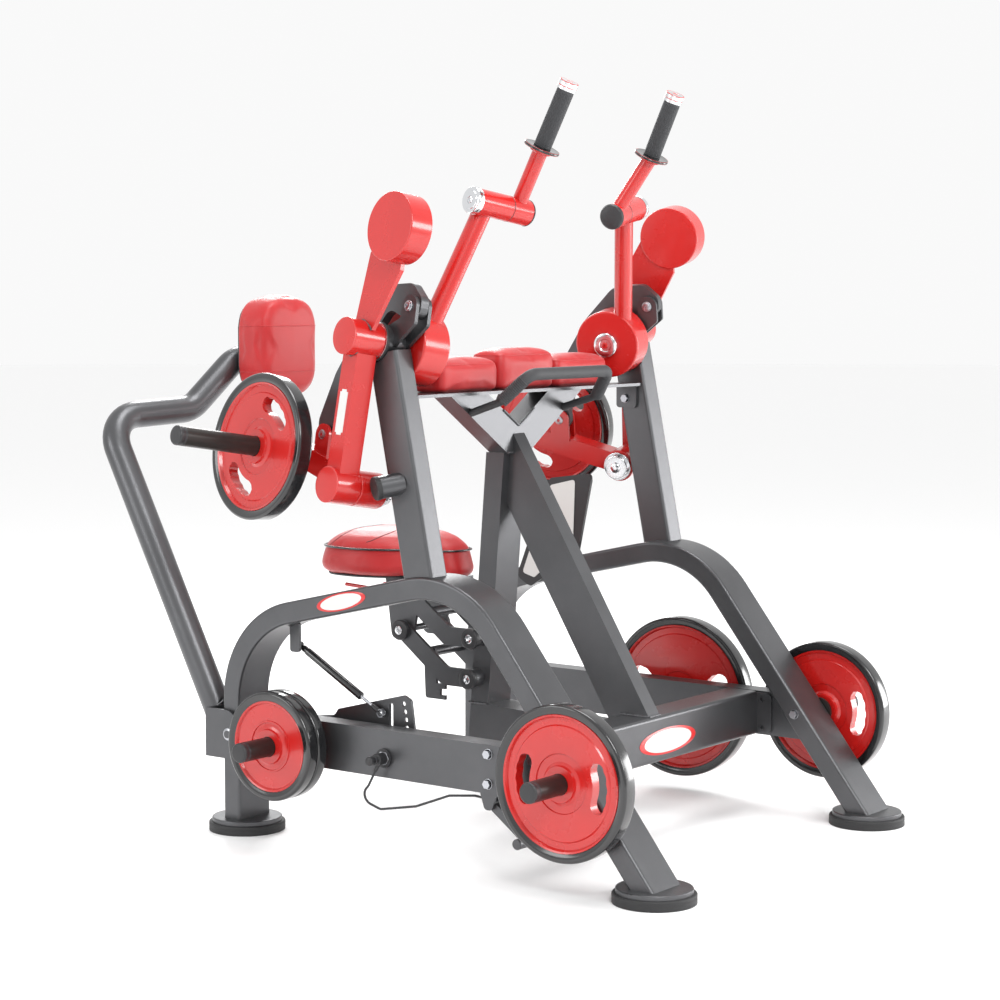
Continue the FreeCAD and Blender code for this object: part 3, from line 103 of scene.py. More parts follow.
def finish_of(name, color, rough, metallic=0.0, coat=0.0, spread=0.12, blotch=6.0, grain=900.0,
              bump=0.05, cells=False, rough_spread=0.08, sheen=0.0, worn=None, stretch=(1, 1, 1)):
    """A procedural finish: cloudy colour, uneven gloss and a fine grain in the surface."""
    made = bpy.data.materials.new(name)
    made.use_nodes = True
    tree = made.node_tree
    shader = tree.nodes["Principled BSDF"]
    shader.inputs["Metallic"].default_value = metallic
    shader.inputs["Coat Weight"].default_value = coat
    shader.inputs["Coat Roughness"].default_value = 0.12
    shader.inputs["Sheen Weight"].default_value = sheen
    place = node(tree, "ShaderNodeTexCoord")
    scale = node(tree, "ShaderNodeMapping", Scale=stretch)
    tree.links.new(place.outputs["Object"], scale.inputs["Vector"])
    cloud = node(tree, "ShaderNodeTexNoise", Scale=blotch, Detail=6.0, Roughness=0.6)
    tree.links.new(scale.outputs["Vector"], cloud.inputs["Vector"])
    tint = node(tree, "ShaderNodeValToRGB")
    tint.color_ramp.elements[0].position = 0.3
    tint.color_ramp.elements[1].position = 0.72
    tint.color_ramp.elements[0].color = [part * (1 - spread) for part in color] + [1]
    tint.color_ramp.elements[1].color = [min(1, part * (1 + spread)) for part in color] + [1]
    tree.links.new(cloud.outputs["Fac"], tint.inputs["Fac"])
    hue = tint.outputs["Color"]
    if worn:
        scuff = node(tree, "ShaderNodeTexNoise", Scale=46.0, Detail=9.0, Roughness=0.74)
        tree.links.new(scale.outputs["Vector"], scuff.inputs["Vector"])
        mask = node(tree, "ShaderNodeMapRange")
        mask.inputs["From Min"].default_value = 0.66
        mask.inputs["From Max"].default_value = 0.78
        mask.inputs["To Max"].default_value = 0.55
        tree.links.new(scuff.outputs["Fac"], mask.inputs["Value"])
        blend = node(tree, "ShaderNodeMix", data_type="RGBA")
        blend.inputs[MIX_B].default_value = list(worn) + [1]
        tree.links.new(mask.outputs["Result"], blend.inputs[MIX_FACTOR])
        tree.links.new(hue, blend.inputs[MIX_A])
        hue = blend.outputs[MIX_COLOR_OUT]
    tree.links.new(hue, shader.inputs["Base Color"])
    gloss = node(tree, "ShaderNodeMapRange")
    gloss.inputs["To Min"].default_value = rough - rough_spread
    gloss.inputs["To Max"].default_value = rough + rough_spread
    tree.links.new(cloud.outputs["Fac"], gloss.inputs["Value"])
    tree.links.new(gloss.outputs["Result"], shader.inputs["Roughness"])
    if cells:
        fine = node(tree, "ShaderNodeTexVoronoi", Scale=grain, feature="DISTANCE_TO_EDGE")
        height = fine.outputs["Distance"]
    else:
        fine = node(tree, "ShaderNodeTexNoise", Scale=grain, Detail=3.0)
        height = fine.outputs["Fac"]
    tree.links.new(scale.outputs["Vector"], fine.inputs["Vector"])
    relief = node(tree, "ShaderNodeBump", Strength=bump, Distance=0.001)
    tree.links.new(height, relief.inputs["Height"])
    tree.links.new(relief.outputs["Normal"], shader.inputs["Normal"])
    return made


LOOKS = {
    "frame_paint": finish_of("frame_paint", (0.105, 0.106, 0.111), 0.34, metallic=0.78, spread=0.1,
                             grain=1500, bump=0.14, rough_spread=0.06),
    "red_enamel": finish_of("red_enamel", (0.5, 0.011, 0.009), 0.27, coat=0.55, spread=0.05,
                            grain=260, bump=0.05, rough_spread=0.05),
    "foot_rubber": finish_of("foot_rubber", (0.02, 0.02, 0.021), 0.62, grain=1300, bump=0.3,
                             spread=0.25),
    "rim_rubber": finish_of("rim_rubber", (0.01, 0.01, 0.011), 0.19, coat=0.6, grain=420,
                            bump=0.06, spread=0.2, rough_spread=0.07),
    "horn_black": finish_of("horn_black", (0.03, 0.026, 0.024), 0.36, metallic=0.45, grain=900,
                            bump=0.1, worn=(0.13, 0.11, 0.1), spread=0.2),
    "chrome": finish_of("chrome", (0.74, 0.75, 0.77), 0.14, metallic=1.0, grain=700, bump=0.03,
                        spread=0.05, rough_spread=0.05),
    "vinyl": finish_of("vinyl", (0.43, 0.009, 0.011), 0.42, grain=760, bump=0.22, cells=True,
                       spread=0.09, sheen=0.12, rough_spread=0.06),
    "grip_rubber": finish_of("grip_rubber", (0.034, 0.035, 0.038), 0.6, grain=1500, bump=0.35,
                             spread=0.18),
    "zinc": finish_of("zinc", (0.46, 0.47, 0.5), 0.3, metallic=1.0, grain=1200, bump=0.08,
                      spread=0.14),
    "black_plastic": finish_of("black_plastic", (0.022, 0.022, 0.024), 0.42, grain=1100, bump=0.16,
                               spread=0.15),
    "label": finish_of("label", (0.66, 0.66, 0.64), 0.34, coat=0.3, grain=500, bump=0.02, spread=0.03),
    "weld_metal": finish_of("weld_metal", (0.12, 0.122, 0.128), 0.33, metallic=0.75, grain=420,
                            bump=0.5, spread=0.3),
    "aluminium_cap": finish_of("aluminium_cap", (0.72, 0.72, 0.73), 0.3, metallic=1.0, grain=900,
                               bump=0.1, spread=0.08, stretch=(1, 1, 12)),
    "badge_red": finish_of("badge_red", (0.6, 0.02, 0.02), 0.3, coat=0.3, grain=600, bump=0.03),
    "board": finish_of("board", (0.03, 0.03, 0.032), 0.6, grain=300, bump=0.25, spread=0.2),
}


def dress(obj, look):
    """Gives a piece its finish."""
    obj.data.materials.clear()
    obj.data.materials.append(LOOKS[look])
    return obj


slot_of = {part["node"]: part["material_slot"] for part in frame["record"]["subparts"]}
for name, item in frame["nodes"].items():
    for held in item.material_slots:
        held.link = "OBJECT"
        held.material = LOOKS[slot_of[name]]


# ------------------------------------------------------------------ mesh helpers
def add(name, mesh, look, body, sharp=32):
    """Puts a mesh in the scene, in metres, with its look and its body."""
    mesh.shade_smooth()
    mesh.set_sharp_from_angle(angle=math.radians(sharp))
    obj = bpy.data.objects.new(name, mesh)
    bpy.context.scene.collection.objects.link(obj)
    dress(obj, look)
    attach(obj, body)
    return obj


def mesh_of(name, bm, space):
    """The bmesh as a mesh, carried from millimetres in a space to metres in the row frame."""
    bmesh.ops.recalc_face_normals(bm, faces=bm.faces)
    mesh = bpy.data.meshes.new(name)
    bm.to_mesh(mesh)
    bm.free()
    mesh.transform(TO_METRES @ space)
    return mesh


def lathe(name, profile, space, look, body, segments=72, sharp=32):
    """A closed solid turned about the space's x axis; the profile is (along, radius)."""
    bm = bmesh.new()
    rings = []
    for along, radius in profile:
        if radius < 1e-6:
            rings.append([bm.verts.new((along, 0, 0))])
            continue
        turn = [2 * math.pi * k / segments for k in range(segments)]
        rings.append([bm.verts.new((along, radius * math.cos(a), radius * math.sin(a))) for a in turn])
    pairs = list(zip(rings, rings[1:]))
    if len(rings[0]) > 1:
        pairs.append((rings[-1], rings[0]))
    for one, two in pairs:
        for k in range(segments):
            after = (k + 1) % segments
            corners = [one[k % len(one)], one[after % len(one)], two[after % len(two)], two[k % len(two)]]
            corners = list(dict.fromkeys(corners))
            if len(corners) > 2:
                bm.faces.new(corners)
    return add(name, mesh_of(name, bm, space), look, body, sharp)


def close_rows(bm, rows):
    """Skins stacked rows of the same number of points, and closes both ends."""
    count = len(rows[0])
    for one, two in zip(rows, rows[1:]):
        for k in range(count):
            bm.faces.new((one[k], one[(k + 1) % count], two[(k + 1) % count], two[k]))
    bm.faces.new(rows[0])
    bm.faces.new(rows[-1])


def arc_profile(center, radius, start, stop, steps=6):
    """Points of a rounded edge, angles in degrees."""
    return [(center[0] + radius * math.cos(math.radians(start + (stop - start) * k / steps)),
             center[1] + radius * math.sin(math.radians(start + (stop - start) * k / steps)))
            for k in range(steps + 1)]


def wire(name, points, radius, look, body, closed=False, space=ALONG_X, ripple=0.0):
    """A round bead along a smooth line; ripple swells it in even waves, as on a weld."""
    curve = bpy.data.curves.new(name, "CURVE")
    curve.dimensions = "3D"
    curve.bevel_depth = radius / 1000
    curve.bevel_resolution = 3
    spline = curve.splines.new("NURBS")
    spline.points.add(len(points) - 1)
    for k, (item, point) in enumerate(zip(spline.points, points)):
        item.co = (TO_METRES @ space @ Vector(point)).to_4d()
        item.radius = 1 + (ripple if k % 2 else -ripple)
    spline.order_u = 3
    spline.use_endpoint_u = not closed
    spline.use_cyclic_u = closed
    curve.use_fill_caps = not closed
    obj = bpy.data.objects.new(name, curve)
    bpy.context.scene.collection.objects.link(obj)
    dress(obj, look)
    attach(obj, body)
    return obj


def weld(name, corners, body, closed=True, pitch=5.0, radius=3.4, space=ALONG_X):
    """A rippled weld bead along straight sides between the corners."""
    points = []
    ends = corners + corners[:1] if closed else corners
    for one, two in zip(ends, ends[1:]):
        run = Vector(two) - Vector(one)
        steps = max(2, int(run.length / pitch))
        points += [Vector(one) + run * (k / steps) for k in range(steps)]
    if not closed:
        points.append(Vector(ends[-1]))
    return wire(name, points, radius, "weld_metal", body, closed=closed, space=space, ripple=0.16)


# ------------------------------------------------------------------ camera, light, floor
LENS, SENSOR = 86.4, 36
CAMERA_AT = (-5.117, -3.634 + FEET_BEHIND_ORIGIN / 1000, 1.417)
CAMERA_PITCH, CAMERA_HEADING = math.radians(85), math.radians(-53.2)
LAMPS = {"key": ((-3.4, -4.2, 4.4), 1.8, 150), "fill": ((-5.0, 2.6, 2.4), 2.0, 60),
         "rim": ((3.2, 3.4, 3.6), 1.6, 140), "top": ((0.2, -0.3, 5.2), 2.2, 110),
         "front": ((1.8, -5.0, 2.0), 1.2, 60), "side": ((4.4, -3.6, 1.1), 1.9, 120)}
LAMPS_AIM = Vector((0, 0, 0.8))
FLOOR_RADIUS = 40


def studio():
    """The photograph's camera, six soft lamps in a white surround, and a pale floor."""
    camera = bpy.data.objects.new("camera", bpy.data.cameras.new("camera"))
    camera.data.lens = LENS
    camera.data.sensor_width = SENSOR
    camera.location = CAMERA_AT
    camera.rotation_euler = (CAMERA_PITCH, 0, CAMERA_HEADING)
    bpy.context.scene.collection.objects.link(camera)
    bpy.context.scene.camera = camera
    for name, (spot, size, power) in LAMPS.items():
        lamp = bpy.data.lights.new(name, "AREA")
        lamp.energy = power
        lamp.size = size
        light = bpy.data.objects.new(name, lamp)
        light.location = spot
        light.rotation_euler = (LAMPS_AIM - Vector(spot)).to_track_quat("-Z", "Y").to_euler()
        bpy.context.scene.collection.objects.link(light)
    world = bpy.data.worlds.new("studio")
    world.use_nodes = True
    surround = world.node_tree.nodes["Background"]
    surround.inputs["Color"].default_value = (1, 1, 1, 1)
    surround.inputs["Strength"].default_value = 0.95
    bpy.context.scene.world = world
    bpy.context.scene.view_settings.view_transform = "Standard"
    bm = bmesh.new()
    bmesh.ops.create_circle(bm, cap_ends=True, radius=FLOOR_RADIUS, segments=96)
    mesh = bpy.data.meshes.new("floor")
    bm.to_mesh(mesh)
    bm.free()
    floor = bpy.data.objects.new("floor", mesh)
    bpy.context.scene.collection.objects.link(floor)
    pale = bpy.data.materials.new("pale_floor")
    pale.use_nodes = True
    shader = pale.node_tree.nodes["Principled BSDF"]
    shader.inputs["Base Color"].default_value = (0.98, 0.98, 0.98, 1)
    shader.inputs["Roughness"].default_value = 0.7
    mesh.materials.append(pale)


studio()


# ------------------------------------------------------------------ weight plates
SLOT_HALF = math.radians(32.5)
SLOT_END_SHARE = 0.42
SCALLOP_DEPTH, SCALLOP_WAVES = 3.0, 2.5
PLATE_STEPS = 144
CUT_RING = 8
RIM_WIDTH = 24


def slot_share(angle):
    """How far an angle lies into a handle slot: 0 at its ends, 1 at its middle, less outside."""
    off = abs((angle + math.pi / 2) % math.pi - math.pi / 2)
    return 1 - off / SLOT_HALF


def plate_face(name, space, radius, width, slots, body, node_name):
    """The enamelled disc: a dished web with raised rings and, on large plates, handle slots."""
    rim = radius - RIM_WIDTH
    deep = 0.27 * width
    face = [(26, 0), (30, 0), (43, 0), (45, deep * 0.6), (52, deep), (0.52 * rim, deep)]
    face += [(0.53 * rim, deep * 0.7), (0.56 * rim, deep * 0.7), (0.57 * rim, deep)]
    if slots:
        face = [(26, 0), (30, 0), (43, 0), (45, deep * 0.6), (52, deep), (70, deep), (72, deep * 0.75),
                (82, deep * 0.7), (90, deep * 0.7), (rim - 34, deep * 0.7), (rim - 27, deep * 0.72),
                (rim - 24, deep)]
    face += [(rim - 8, deep), (rim - 4, deep * 0.4), (rim, deep * 0.25), (rim + 2, deep * 0.6)]
    bm = bmesh.new()
    grids = []
    for side in (0, 1):
        grid = []
        for ring, (r, dip) in enumerate(face):
            along = dip if side == 0 else width - dip
            row = []
            for k in range(PLATE_STEPS):
                angle = 2 * math.pi * k / PLATE_STEPS
                share = slot_share(angle)
                reach = r
                if slots and ring in (CUT_RING, CUT_RING + 1) and share > -0.01:
                    middle = (face[CUT_RING][0] + face[CUT_RING + 1][0]) / 2
                    bend = math.sqrt(max(0.0, 1 - (1 - min(1, max(0, share) / SLOT_END_SHARE)) ** 2))
                    if ring > CUT_RING and share > 0.1:
                        wave = abs(math.sin(share * SCALLOP_WAVES * math.pi))
                        reach += SCALLOP_DEPTH * wave - SCALLOP_DEPTH / 2
                    reach = middle + (reach - middle) * bend
                row.append(bm.verts.new((along, reach * math.cos(angle), reach * math.sin(angle))))
            grid.append(row)
        grids.append(grid)

    def open_cell(ring, k):
        return slots and ring == CUT_RING and slot_share(2 * math.pi * (k + 0.5) / PLATE_STEPS) > 0

    for grid in grids:
        for ring in range(len(face) - 1):
            for k in range(PLATE_STEPS):
                after = (k + 1) % PLATE_STEPS
                if not open_cell(ring, k):
                    bm.faces.new((grid[ring][k], grid[ring][after], grid[ring + 1][after],
                                  grid[ring + 1][k]))
    edges = [edge for edge in bm.edges if edge.is_boundary]
    partner = {}
    for one, two in zip(grids[0], grids[1]):
        partner.update(zip(one, two))
    for edge in edges:
        a, b = edge.verts
        if a in partner and b in partner:
            bm.faces.new((a, b, partner[b], partner[a]))
    disc = add(name, mesh_of(name, bm, space), "red_enamel", body, sharp=28)
    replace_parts(disc, node_name)


def plate_rim(name, space, radius, width, body, node_name):
    """The rubber ring round a plate, with rounded edges."""
    rim = radius - RIM_WIDTH + 1
    profile = [(0.1 * width, rim), (3, rim + 3), (1, rim + 7)] + arc_profile((7, radius - 7), 7, 180, 90)
    profile += arc_profile((width - 7, radius - 7), 7, 90, 0)
    profile += [(width - 1, rim + 7), (width - 3, rim + 3), (0.9 * width, rim)]
    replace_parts(lathe(name, profile, space, "rim_rubber", body, segments=120, sharp=50), node_name)


def weight_plate(name, space, radius, width, slots, body, node_name):
    plate_face(name + "_disc", space, radius, width, slots, body, node_name)
    plate_rim(name + "_rim", space, radius, width, body, node_name)


MIDDLE, BIG, SMALL = 187, 228, 140
WIDE, NARROW = 44, 34
ARM_PLATE_INNER, ARM_PLATE_OUTER = 236, 280
ARM_PLATE_TURN = math.radians(-57)
STORED = {"left_front_plate": (-642, -456, 274, MIDDLE, WIDE),
          "right_front_plate": (598, -456, 274, MIDDLE, WIDE),
          "right_mid_plate": (590, 5, 265, BIG, WIDE)}
for name, (x, y, z, radius, width) in STORED.items():
    weight_plate(name, Matrix.Translation((x, y, z)), radius, width, True, "frame", name)
for tag, x in (("inner", -619), ("outer", -655)):
    weight_plate("left_rear_plate_" + tag, Matrix.Translation((x, 440, 262)), SMALL, NARROW, False,
                 "frame", "left_rear_plates")
for name, side in SIDES.items():
    start = ARM_PLATE_INNER if side > 0 else -ARM_PLATE_OUTER
    seat_at = Matrix.Translation((start, HORN_Y, HORN_Z)) @ Matrix.Rotation(ARM_PLATE_TURN, 4, "X")
    weight_plate(name + "_arm_plate", lever_space(side) @ seat_at, MIDDLE, WIDE, True,
                 name + "_arm_body", name + "_arm_plate")


# ------------------------------------------------------------------ caps, grips and hubs
def horn_cap(name, space, body):
    """A moulded plastic cap with two grooves on the end of a 50 mm horn, its tip at x = 0."""
    profile = [(-22.4, 0), (-22.4, 24.2), (-22, 24.9), (-18.6, 24.9), (-17.8, 24.6), (-16.4, 24.6),
               (-15.6, 24.9), (-6.3, 24.9)]
    profile += arc_profile((-5.9, 18.9), 6.1, 86, 4) + [(0.2, 0)]
    lathe(name, profile, space, "black_plastic", body)


RESTS = {"left_front": (-765, -456, 274), "left_rear": (-765, 440, 262),
         "right_front": (765, -456, 274), "right_mid": (765, 5, 265)}
for name, tip in RESTS.items():
    horn_cap(name + "_rest_cap", Matrix.Translation(tip) @ sided(tip[0]), "frame")


def bolt(name, space, body, size=10):
    """A washer and a hexagon head with chamfered corners, standing up along the space's x axis."""
    lathe(name + "_washer", [(0, 0), (0, size * 1.25), (1.6, size * 1.3), (2, size * 1.2), (2, 0)],
          space, "zinc", body, segments=40)
    bm = bmesh.new()
    rings = []
    for along, reach in ((1.5, size), (size * 0.7, size), (size * 0.86, size * 0.9)):
        turn = [math.radians(60 * k + 15) for k in range(6)]
        rings.append([bm.verts.new((along, reach * math.cos(a), reach * math.sin(a))) for a in turn])
    close_rows(bm, rings)
    add(name, mesh_of(name, bm, space), "zinc", body, sharp=20)


def socket_bolt(name, space, body, radius, look="chrome"):
    """A round cap screw with a hexagon socket pressed into its crowned head."""
    bm = bmesh.new()
    count = 48
    rows = []
    for along, reach, hexagon in ((0, radius, False), (2.5, radius, False), (4, radius * 0.86, False),
                                  (4.6, radius * 0.45, True), (1.6, radius * 0.42, True)):
        row = []
        for k in range(count):
            angle = 2 * math.pi * k / count
            six = math.cos(math.pi / 6) / math.cos((angle % (math.pi / 3)) - math.pi / 6)
            far = reach * (six if hexagon else 1)
            row.append(bm.verts.new((along, far * math.cos(angle), far * math.sin(angle))))
        rows.append(row)
    close_rows(bm, rows)
    add(name, mesh_of(name, bm, space), look, body, sharp=30)


def lever_trim(name, side):
    """What rides on one lever: caps, seals, screws, the grip, its label and its welds."""
    space = lever_space(side)
    lever, swivel, arm = name + "_lever_body", name + "_swivel_body", name + "_arm_body"

    def along(u, v, w, inward=False):
        """A frame on the lever whose x axis points outward, or inward."""
        return space @ Matrix.Translation((side * u, v, w)) @ sided(-side if inward else side)

    # main shaft: chrome cap inside the drum with its coloured centre, black seal by the housing
    lathe(name + "_drum_cap", [(7.8, 0), (7.8, 34)] + arc_profile((9.5, 30), 4.2, 90, 20, 4)
          + [(12.8, 18), (11.2, 16), (11.2, 0)], along(0, 0, 0, True), "chrome", lever)
    socket_bolt(name + "_drum_screw", along(-11, 0, 0, True), lever, 9, "red_enamel")
    lathe(name + "_shaft_seal", [(158.6, 30), (158.6, 49)] + arc_profile((160.6, 48.6), 2, 180, 90, 3)
          + arc_profile((166.8, 48.6), 2, 90, 0, 3) + [(168.9, 30)], along(0, 0, 0), "foot_rubber", lever)
    # swivel: screw cap on the outer end, plastic cap on the inner one
    lathe(name + "_swivel_cap", [(0, 0), (0, 33.4), (4, 34), (5, 33.3), (9, 33.3), (10, 34)]
          + arc_profile((14, 29.5), 4.6, 90, 10, 4) + [(19, 27), (18.6, 24), (20.2, 23), (20.6, 10)]
          + [(18.8, 9), (18.8, 0)], along(-10, SWIVEL_Y, SWIVEL_Z), "chrome", lever)
    socket_bolt(name + "_swivel_screw", along(7.8, SWIVEL_Y, SWIVEL_Z), lever, 8)
    lathe(name + "_swivel_plug", [(0, 0), (0, 33.6), (1.5, 34), (3, 33)] + arc_profile(
        (3, 27), 5, 70, 20, 4) + [(8.6, 12), (9.0, 0)], along(-177, SWIVEL_Y, SWIVEL_Z, True),
          "black_plastic", swivel)
    lathe(name + "_swivel_ring", [(-2, 20), (-2, 32), (0, 33.3), (2, 32), (2, 20)],
          along(-112.8, SWIVEL_Y, SWIVEL_Z), "black_plastic", lever)
    # grip: fine ribbed rubber, round hand guard, weld collar and turned end cap
    mirror = Vector((side, 1, 1))
    grip_space = space @ aimed(Vector(GUARD_AT) * mirror, Vector(GRIP_AIM) * mirror)
    length = GRIP_LENGTH
    profile = [(6, 14.5), (6, 21.6)]
    for row in range(int((length - 34) / GRIP_RIB_PITCH)):
        start = 8 + row * GRIP_RIB_PITCH
        profile += [(start, 21.8), (start + 0.5, 22.4), (start + 2.1, 22.4), (start + 2.6, 21.8)]
    profile += [(length - 24, 22), (length - 22, 21.6), (length - 22, 14.5)]
    sleeve = lathe(name + "_grip_sleeve", profile, grip_space, "grip_rubber", swivel, sharp=40)
    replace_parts(sleeve, name + "_grip")
    lathe(name + "_hand_guard", [(-0.7, 17)] + arc_profile((3.3, 43), 4, 200, 90, 6)
          + arc_profile((3.7, 43), 4, 90, -20, 6) + [(7.7, 17)], grip_space, "rim_rubber", swivel)
    lathe(name + "_guard_collar", [(-9, 18), (-9, 25), (-7, 27.5), (-1, 28), (-0.2, 27), (-0.2, 18)],
          grip_space, "red_enamel", swivel)
    lathe(name + "_grip_end", [(length - 22.2, 14), (length - 22.2, 24.6), (length - 15, 25),
                               (length - 14, 24.4), (length - 12.6, 24.4), (length - 11.6, 25)]
          + arc_profile((length - 4, 21), 4.1, 90, 0) + [(length + 0.3, 9), (length - 1, 8),
                                                        (length - 1, 0)],
          grip_space, "aluminium_cap", swivel)
    # weight horn, weight arm pin and link pins
    horn_cap(name + "_horn_cap", along(520, HORN_Y, HORN_Z), arm)
    lathe(name + "_horn_stop", [(155, 26), (155, 43), (158, 44), (167, 44), (169, 42.5), (170, 26)],
          along(0, HORN_Y, HORN_Z), "foot_rubber", arm)
    socket_bolt(name + "_arm_screw", along(62, LOW_HUB_Y, LOW_HUB_Z, True), lever, 15)
    for tag, u, v, w, top in (("upper", 263, 0, 0, 46), ("lower", 247, LOW_HUB_Y, LOW_HUB_Z, 45)):
        lathe("%s_%s_hub_end" % (name, tag), [(-2.6, 0), (-2.6, top + 0.1)]
              + arc_profile((-1.4, top - 1.6), 1.8, 80, 10, 4) + [(0.8, top - 4), (1, 0)],
              along(u, v, w), "red_enamel", lever)
    for tag, u, inward in (("out", 147.8, False), ("in", 90.2, True)):
        socket_bolt(name + "_link_screw_" + tag, along(u, LINK_TOP_Y, LINK_TOP_Z, inward), "frame", 11,
                    "zinc")
    for tag, u, inward in (("out", 143, False), ("in", 95, True)):
        socket_bolt(name + "_link_foot_" + tag, along(u, LINK_FOOT_Y, LINK_FOOT_Z, inward), arm, 12,
                    "zinc")
    lathe(name + "_link_eye_rim", [(-13, 16), (-13, 27), (-11.8, 28), (11.8, 28), (13, 27), (13, 16)],
          along(119, LINK_TOP_Y, LINK_TOP_Z), "foot_rubber", name + "_link_body")
    # plain white label with rounded corners on the lower tube
    bm = bmesh.new()
    bmesh.ops.create_cube(bm, size=1)
    bmesh.ops.scale(bm, vec=(1.2, 30, 112), verts=bm.verts)
    bmesh.ops.bevel(bm, geom=[edge for edge in bm.edges
                              if abs(edge.verts[0].co.x - edge.verts[1].co.x) > 0.5],
                    offset=6, segments=5, affect="EDGES")
    tag_space = space @ Matrix.Translation((side * 236.3, 10, -185)) @ Matrix.Rotation(
        math.radians(2.2), 4, "X")
    add(name + "_lever_label", mesh_of(name + "_lever_label", bm, tag_space), "label", lever)
    # welds round the upper plate and the tube on the hub
    weld(name + "_weld_plate", [(side * 218, -45, 20), (side * 218, -40, 27), (side * 218, -10, 45),
                                (side * 218, 20, 42)], lever, closed=False, space=space, radius=2.6)
    for tag, u in (("out", 237), ("in", 175)):
        weld(name + "_weld_hub_" + tag, [(side * u, -27, -37), (side * u, 0, -46.5), (side * u, 30, -35)],
             lever, closed=False, space=space, radius=2.6)


for name, side in SIDES.items():
    lever_trim(name, side)


# ------------------------------------------------------------------ frame trim
SEAT_PIVOTS = {"upper": (225, 491), "lower": (232, 382)}
SEAT_LINK_RUN, SEAT_LINK_RISE = 233, 113
BOSS_X = 85


def pivot_boss(name, part, tag, place, body):
    """A black cap with a screw in its middle, on the end of a seat pivot."""
    profile = [(-0.3, 20), (-0.3, 27.2)] + arc_profile((10, 23.4), 4.2, 90, 10, 5)
    profile += [(14.4, 15), (13.2, 14.5), (13.2, 0), (0, 0)]
    lathe("%s_%s_boss_%s" % (name, part, tag), profile, place, "black_plastic", body)
    socket_bolt("%s_%s_screw_%s" % (name, part, tag), place @ Matrix.Translation((12.6, 0, 0)), body, 12)


for name, side in SIDES.items():
    for tag, y, z in (("a", -193, 303), ("b", -193, 230), ("c", -325, 303), ("d", -325, 230)):
        bolt("%s_rail_bolt_%s" % (name, tag), Matrix.Translation((side * 565, y, z)) @ sided(side), "frame")
    bolt(name + "_leg_bolt", Matrix.Translation((side * 457, -451, 282)) @ sided(-side), "frame")
    bolt(name + "_tab_bolt", Matrix.Translation((side * 494, 123, 1114)) @ sided(-side), "frame")
    for tag, (y, z) in SEAT_PIVOTS.items():
        pivot_boss(name, "seat", tag, Matrix.Translation((side * BOSS_X, y, z)) @ sided(side), "frame")
        rear = Matrix.Translation((side * BOSS_X, y + SEAT_LINK_RUN, z + SEAT_LINK_RISE))
        pivot_boss(name, "carrier", tag, rear @ sided(side), "seat_body")


def badge(name, center, space, half_wide, half_high, body):
    """A blank oval plate with a coloured border and a pale field; it carries no lettering."""
    for tag, grow, lift, look in (("border", 1.0, 1.4, "badge_red"), ("field", 0.84, 2.0, "label")):
        bm = bmesh.new()
        rows = []
        turn = [2 * math.pi * k / 64 for k in range(64)]
        for height, scale in ((-0.6, 1), (lift - 0.5, 1), (lift, 0.97)):
            wide, high = half_wide * grow * scale, half_high * grow * scale
            rows.append([bm.verts.new((wide * math.cos(a), high * math.sin(a), height)) for a in turn])
        close_rows(bm, rows)
        place = Matrix.Translation(center) @ space
        add("%s_%s" % (name, tag), mesh_of(name + tag, bm, place), look, body)


badge("beam_badge", (48, -312, 258), FACING_FRONT, 132, 34, "frame")
badge("arch_badge", (-577, 260, 639), FACING_LEFT @ Matrix.Rotation(math.radians(14), 4, "Z"),
      82, 22, "frame")


def slab(name, corners, thick, space, look, body, bevel=0.8):
    """A flat plate with soft edges; its outline lies in the space's x-y plane."""
    bm = bmesh.new()
    low = [bm.verts.new((x, y, 0)) for x, y in corners]
    high = [bm.verts.new((x, y, thick)) for x, y in corners]
    bm.faces.new(low)
    bm.faces.new(high)
    for k in range(len(corners)):
        after = (k + 1) % len(corners)
        bm.faces.new((low[k], low[after], high[after], high[k]))
    rim = [edge for edge in bm.edges if abs(edge.verts[0].co.z - edge.verts[1].co.z) < 1e-6]
    bmesh.ops.bevel(bm, geom=rim, offset=bevel, segments=2, affect="EDGES")
    return add(name, mesh_of(name, bm, space), look, body)


def rounded_corners(corners, radius, steps=6):
    """The outline with every corner turned into a smooth bend."""
    made = []
    count = len(corners)
    for k in range(count):
        here = Vector(corners[k])
        back = (Vector(corners[k - 1]) - here).normalized()
        on = (Vector(corners[(k + 1) % count]) - here).normalized()
        half = back.angle(on) / 2
        reach = radius / math.tan(half)
        first, last = here + back * reach, here + on * reach
        for step in range(steps + 1):
            part = step / steps
            made.append(tuple(first * (1 - part) ** 2 + here * 2 * part * (1 - part) + last * part ** 2))
    return made


PLACARD = rounded_corners([(-262, 882), (-346, 862), (-446, 604), (-404, 592), (-268, 706)], 9)
slab("placard_sheet", PLACARD, 1.4, Matrix.Translation((446.4, 0, 0)) @ FACING_LEFT, "label", "frame")
placard_back = rounded_corners([(-203, 902), (-352, 882), (-468, 592), (-420, 564), (-252, 672)], 16)
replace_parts(slab("placard_back", placard_back, 9, Matrix.Translation((456, 0, 0)) @ FACING_LEFT,
                 "black_plastic", "frame", bevel=2), "placard")

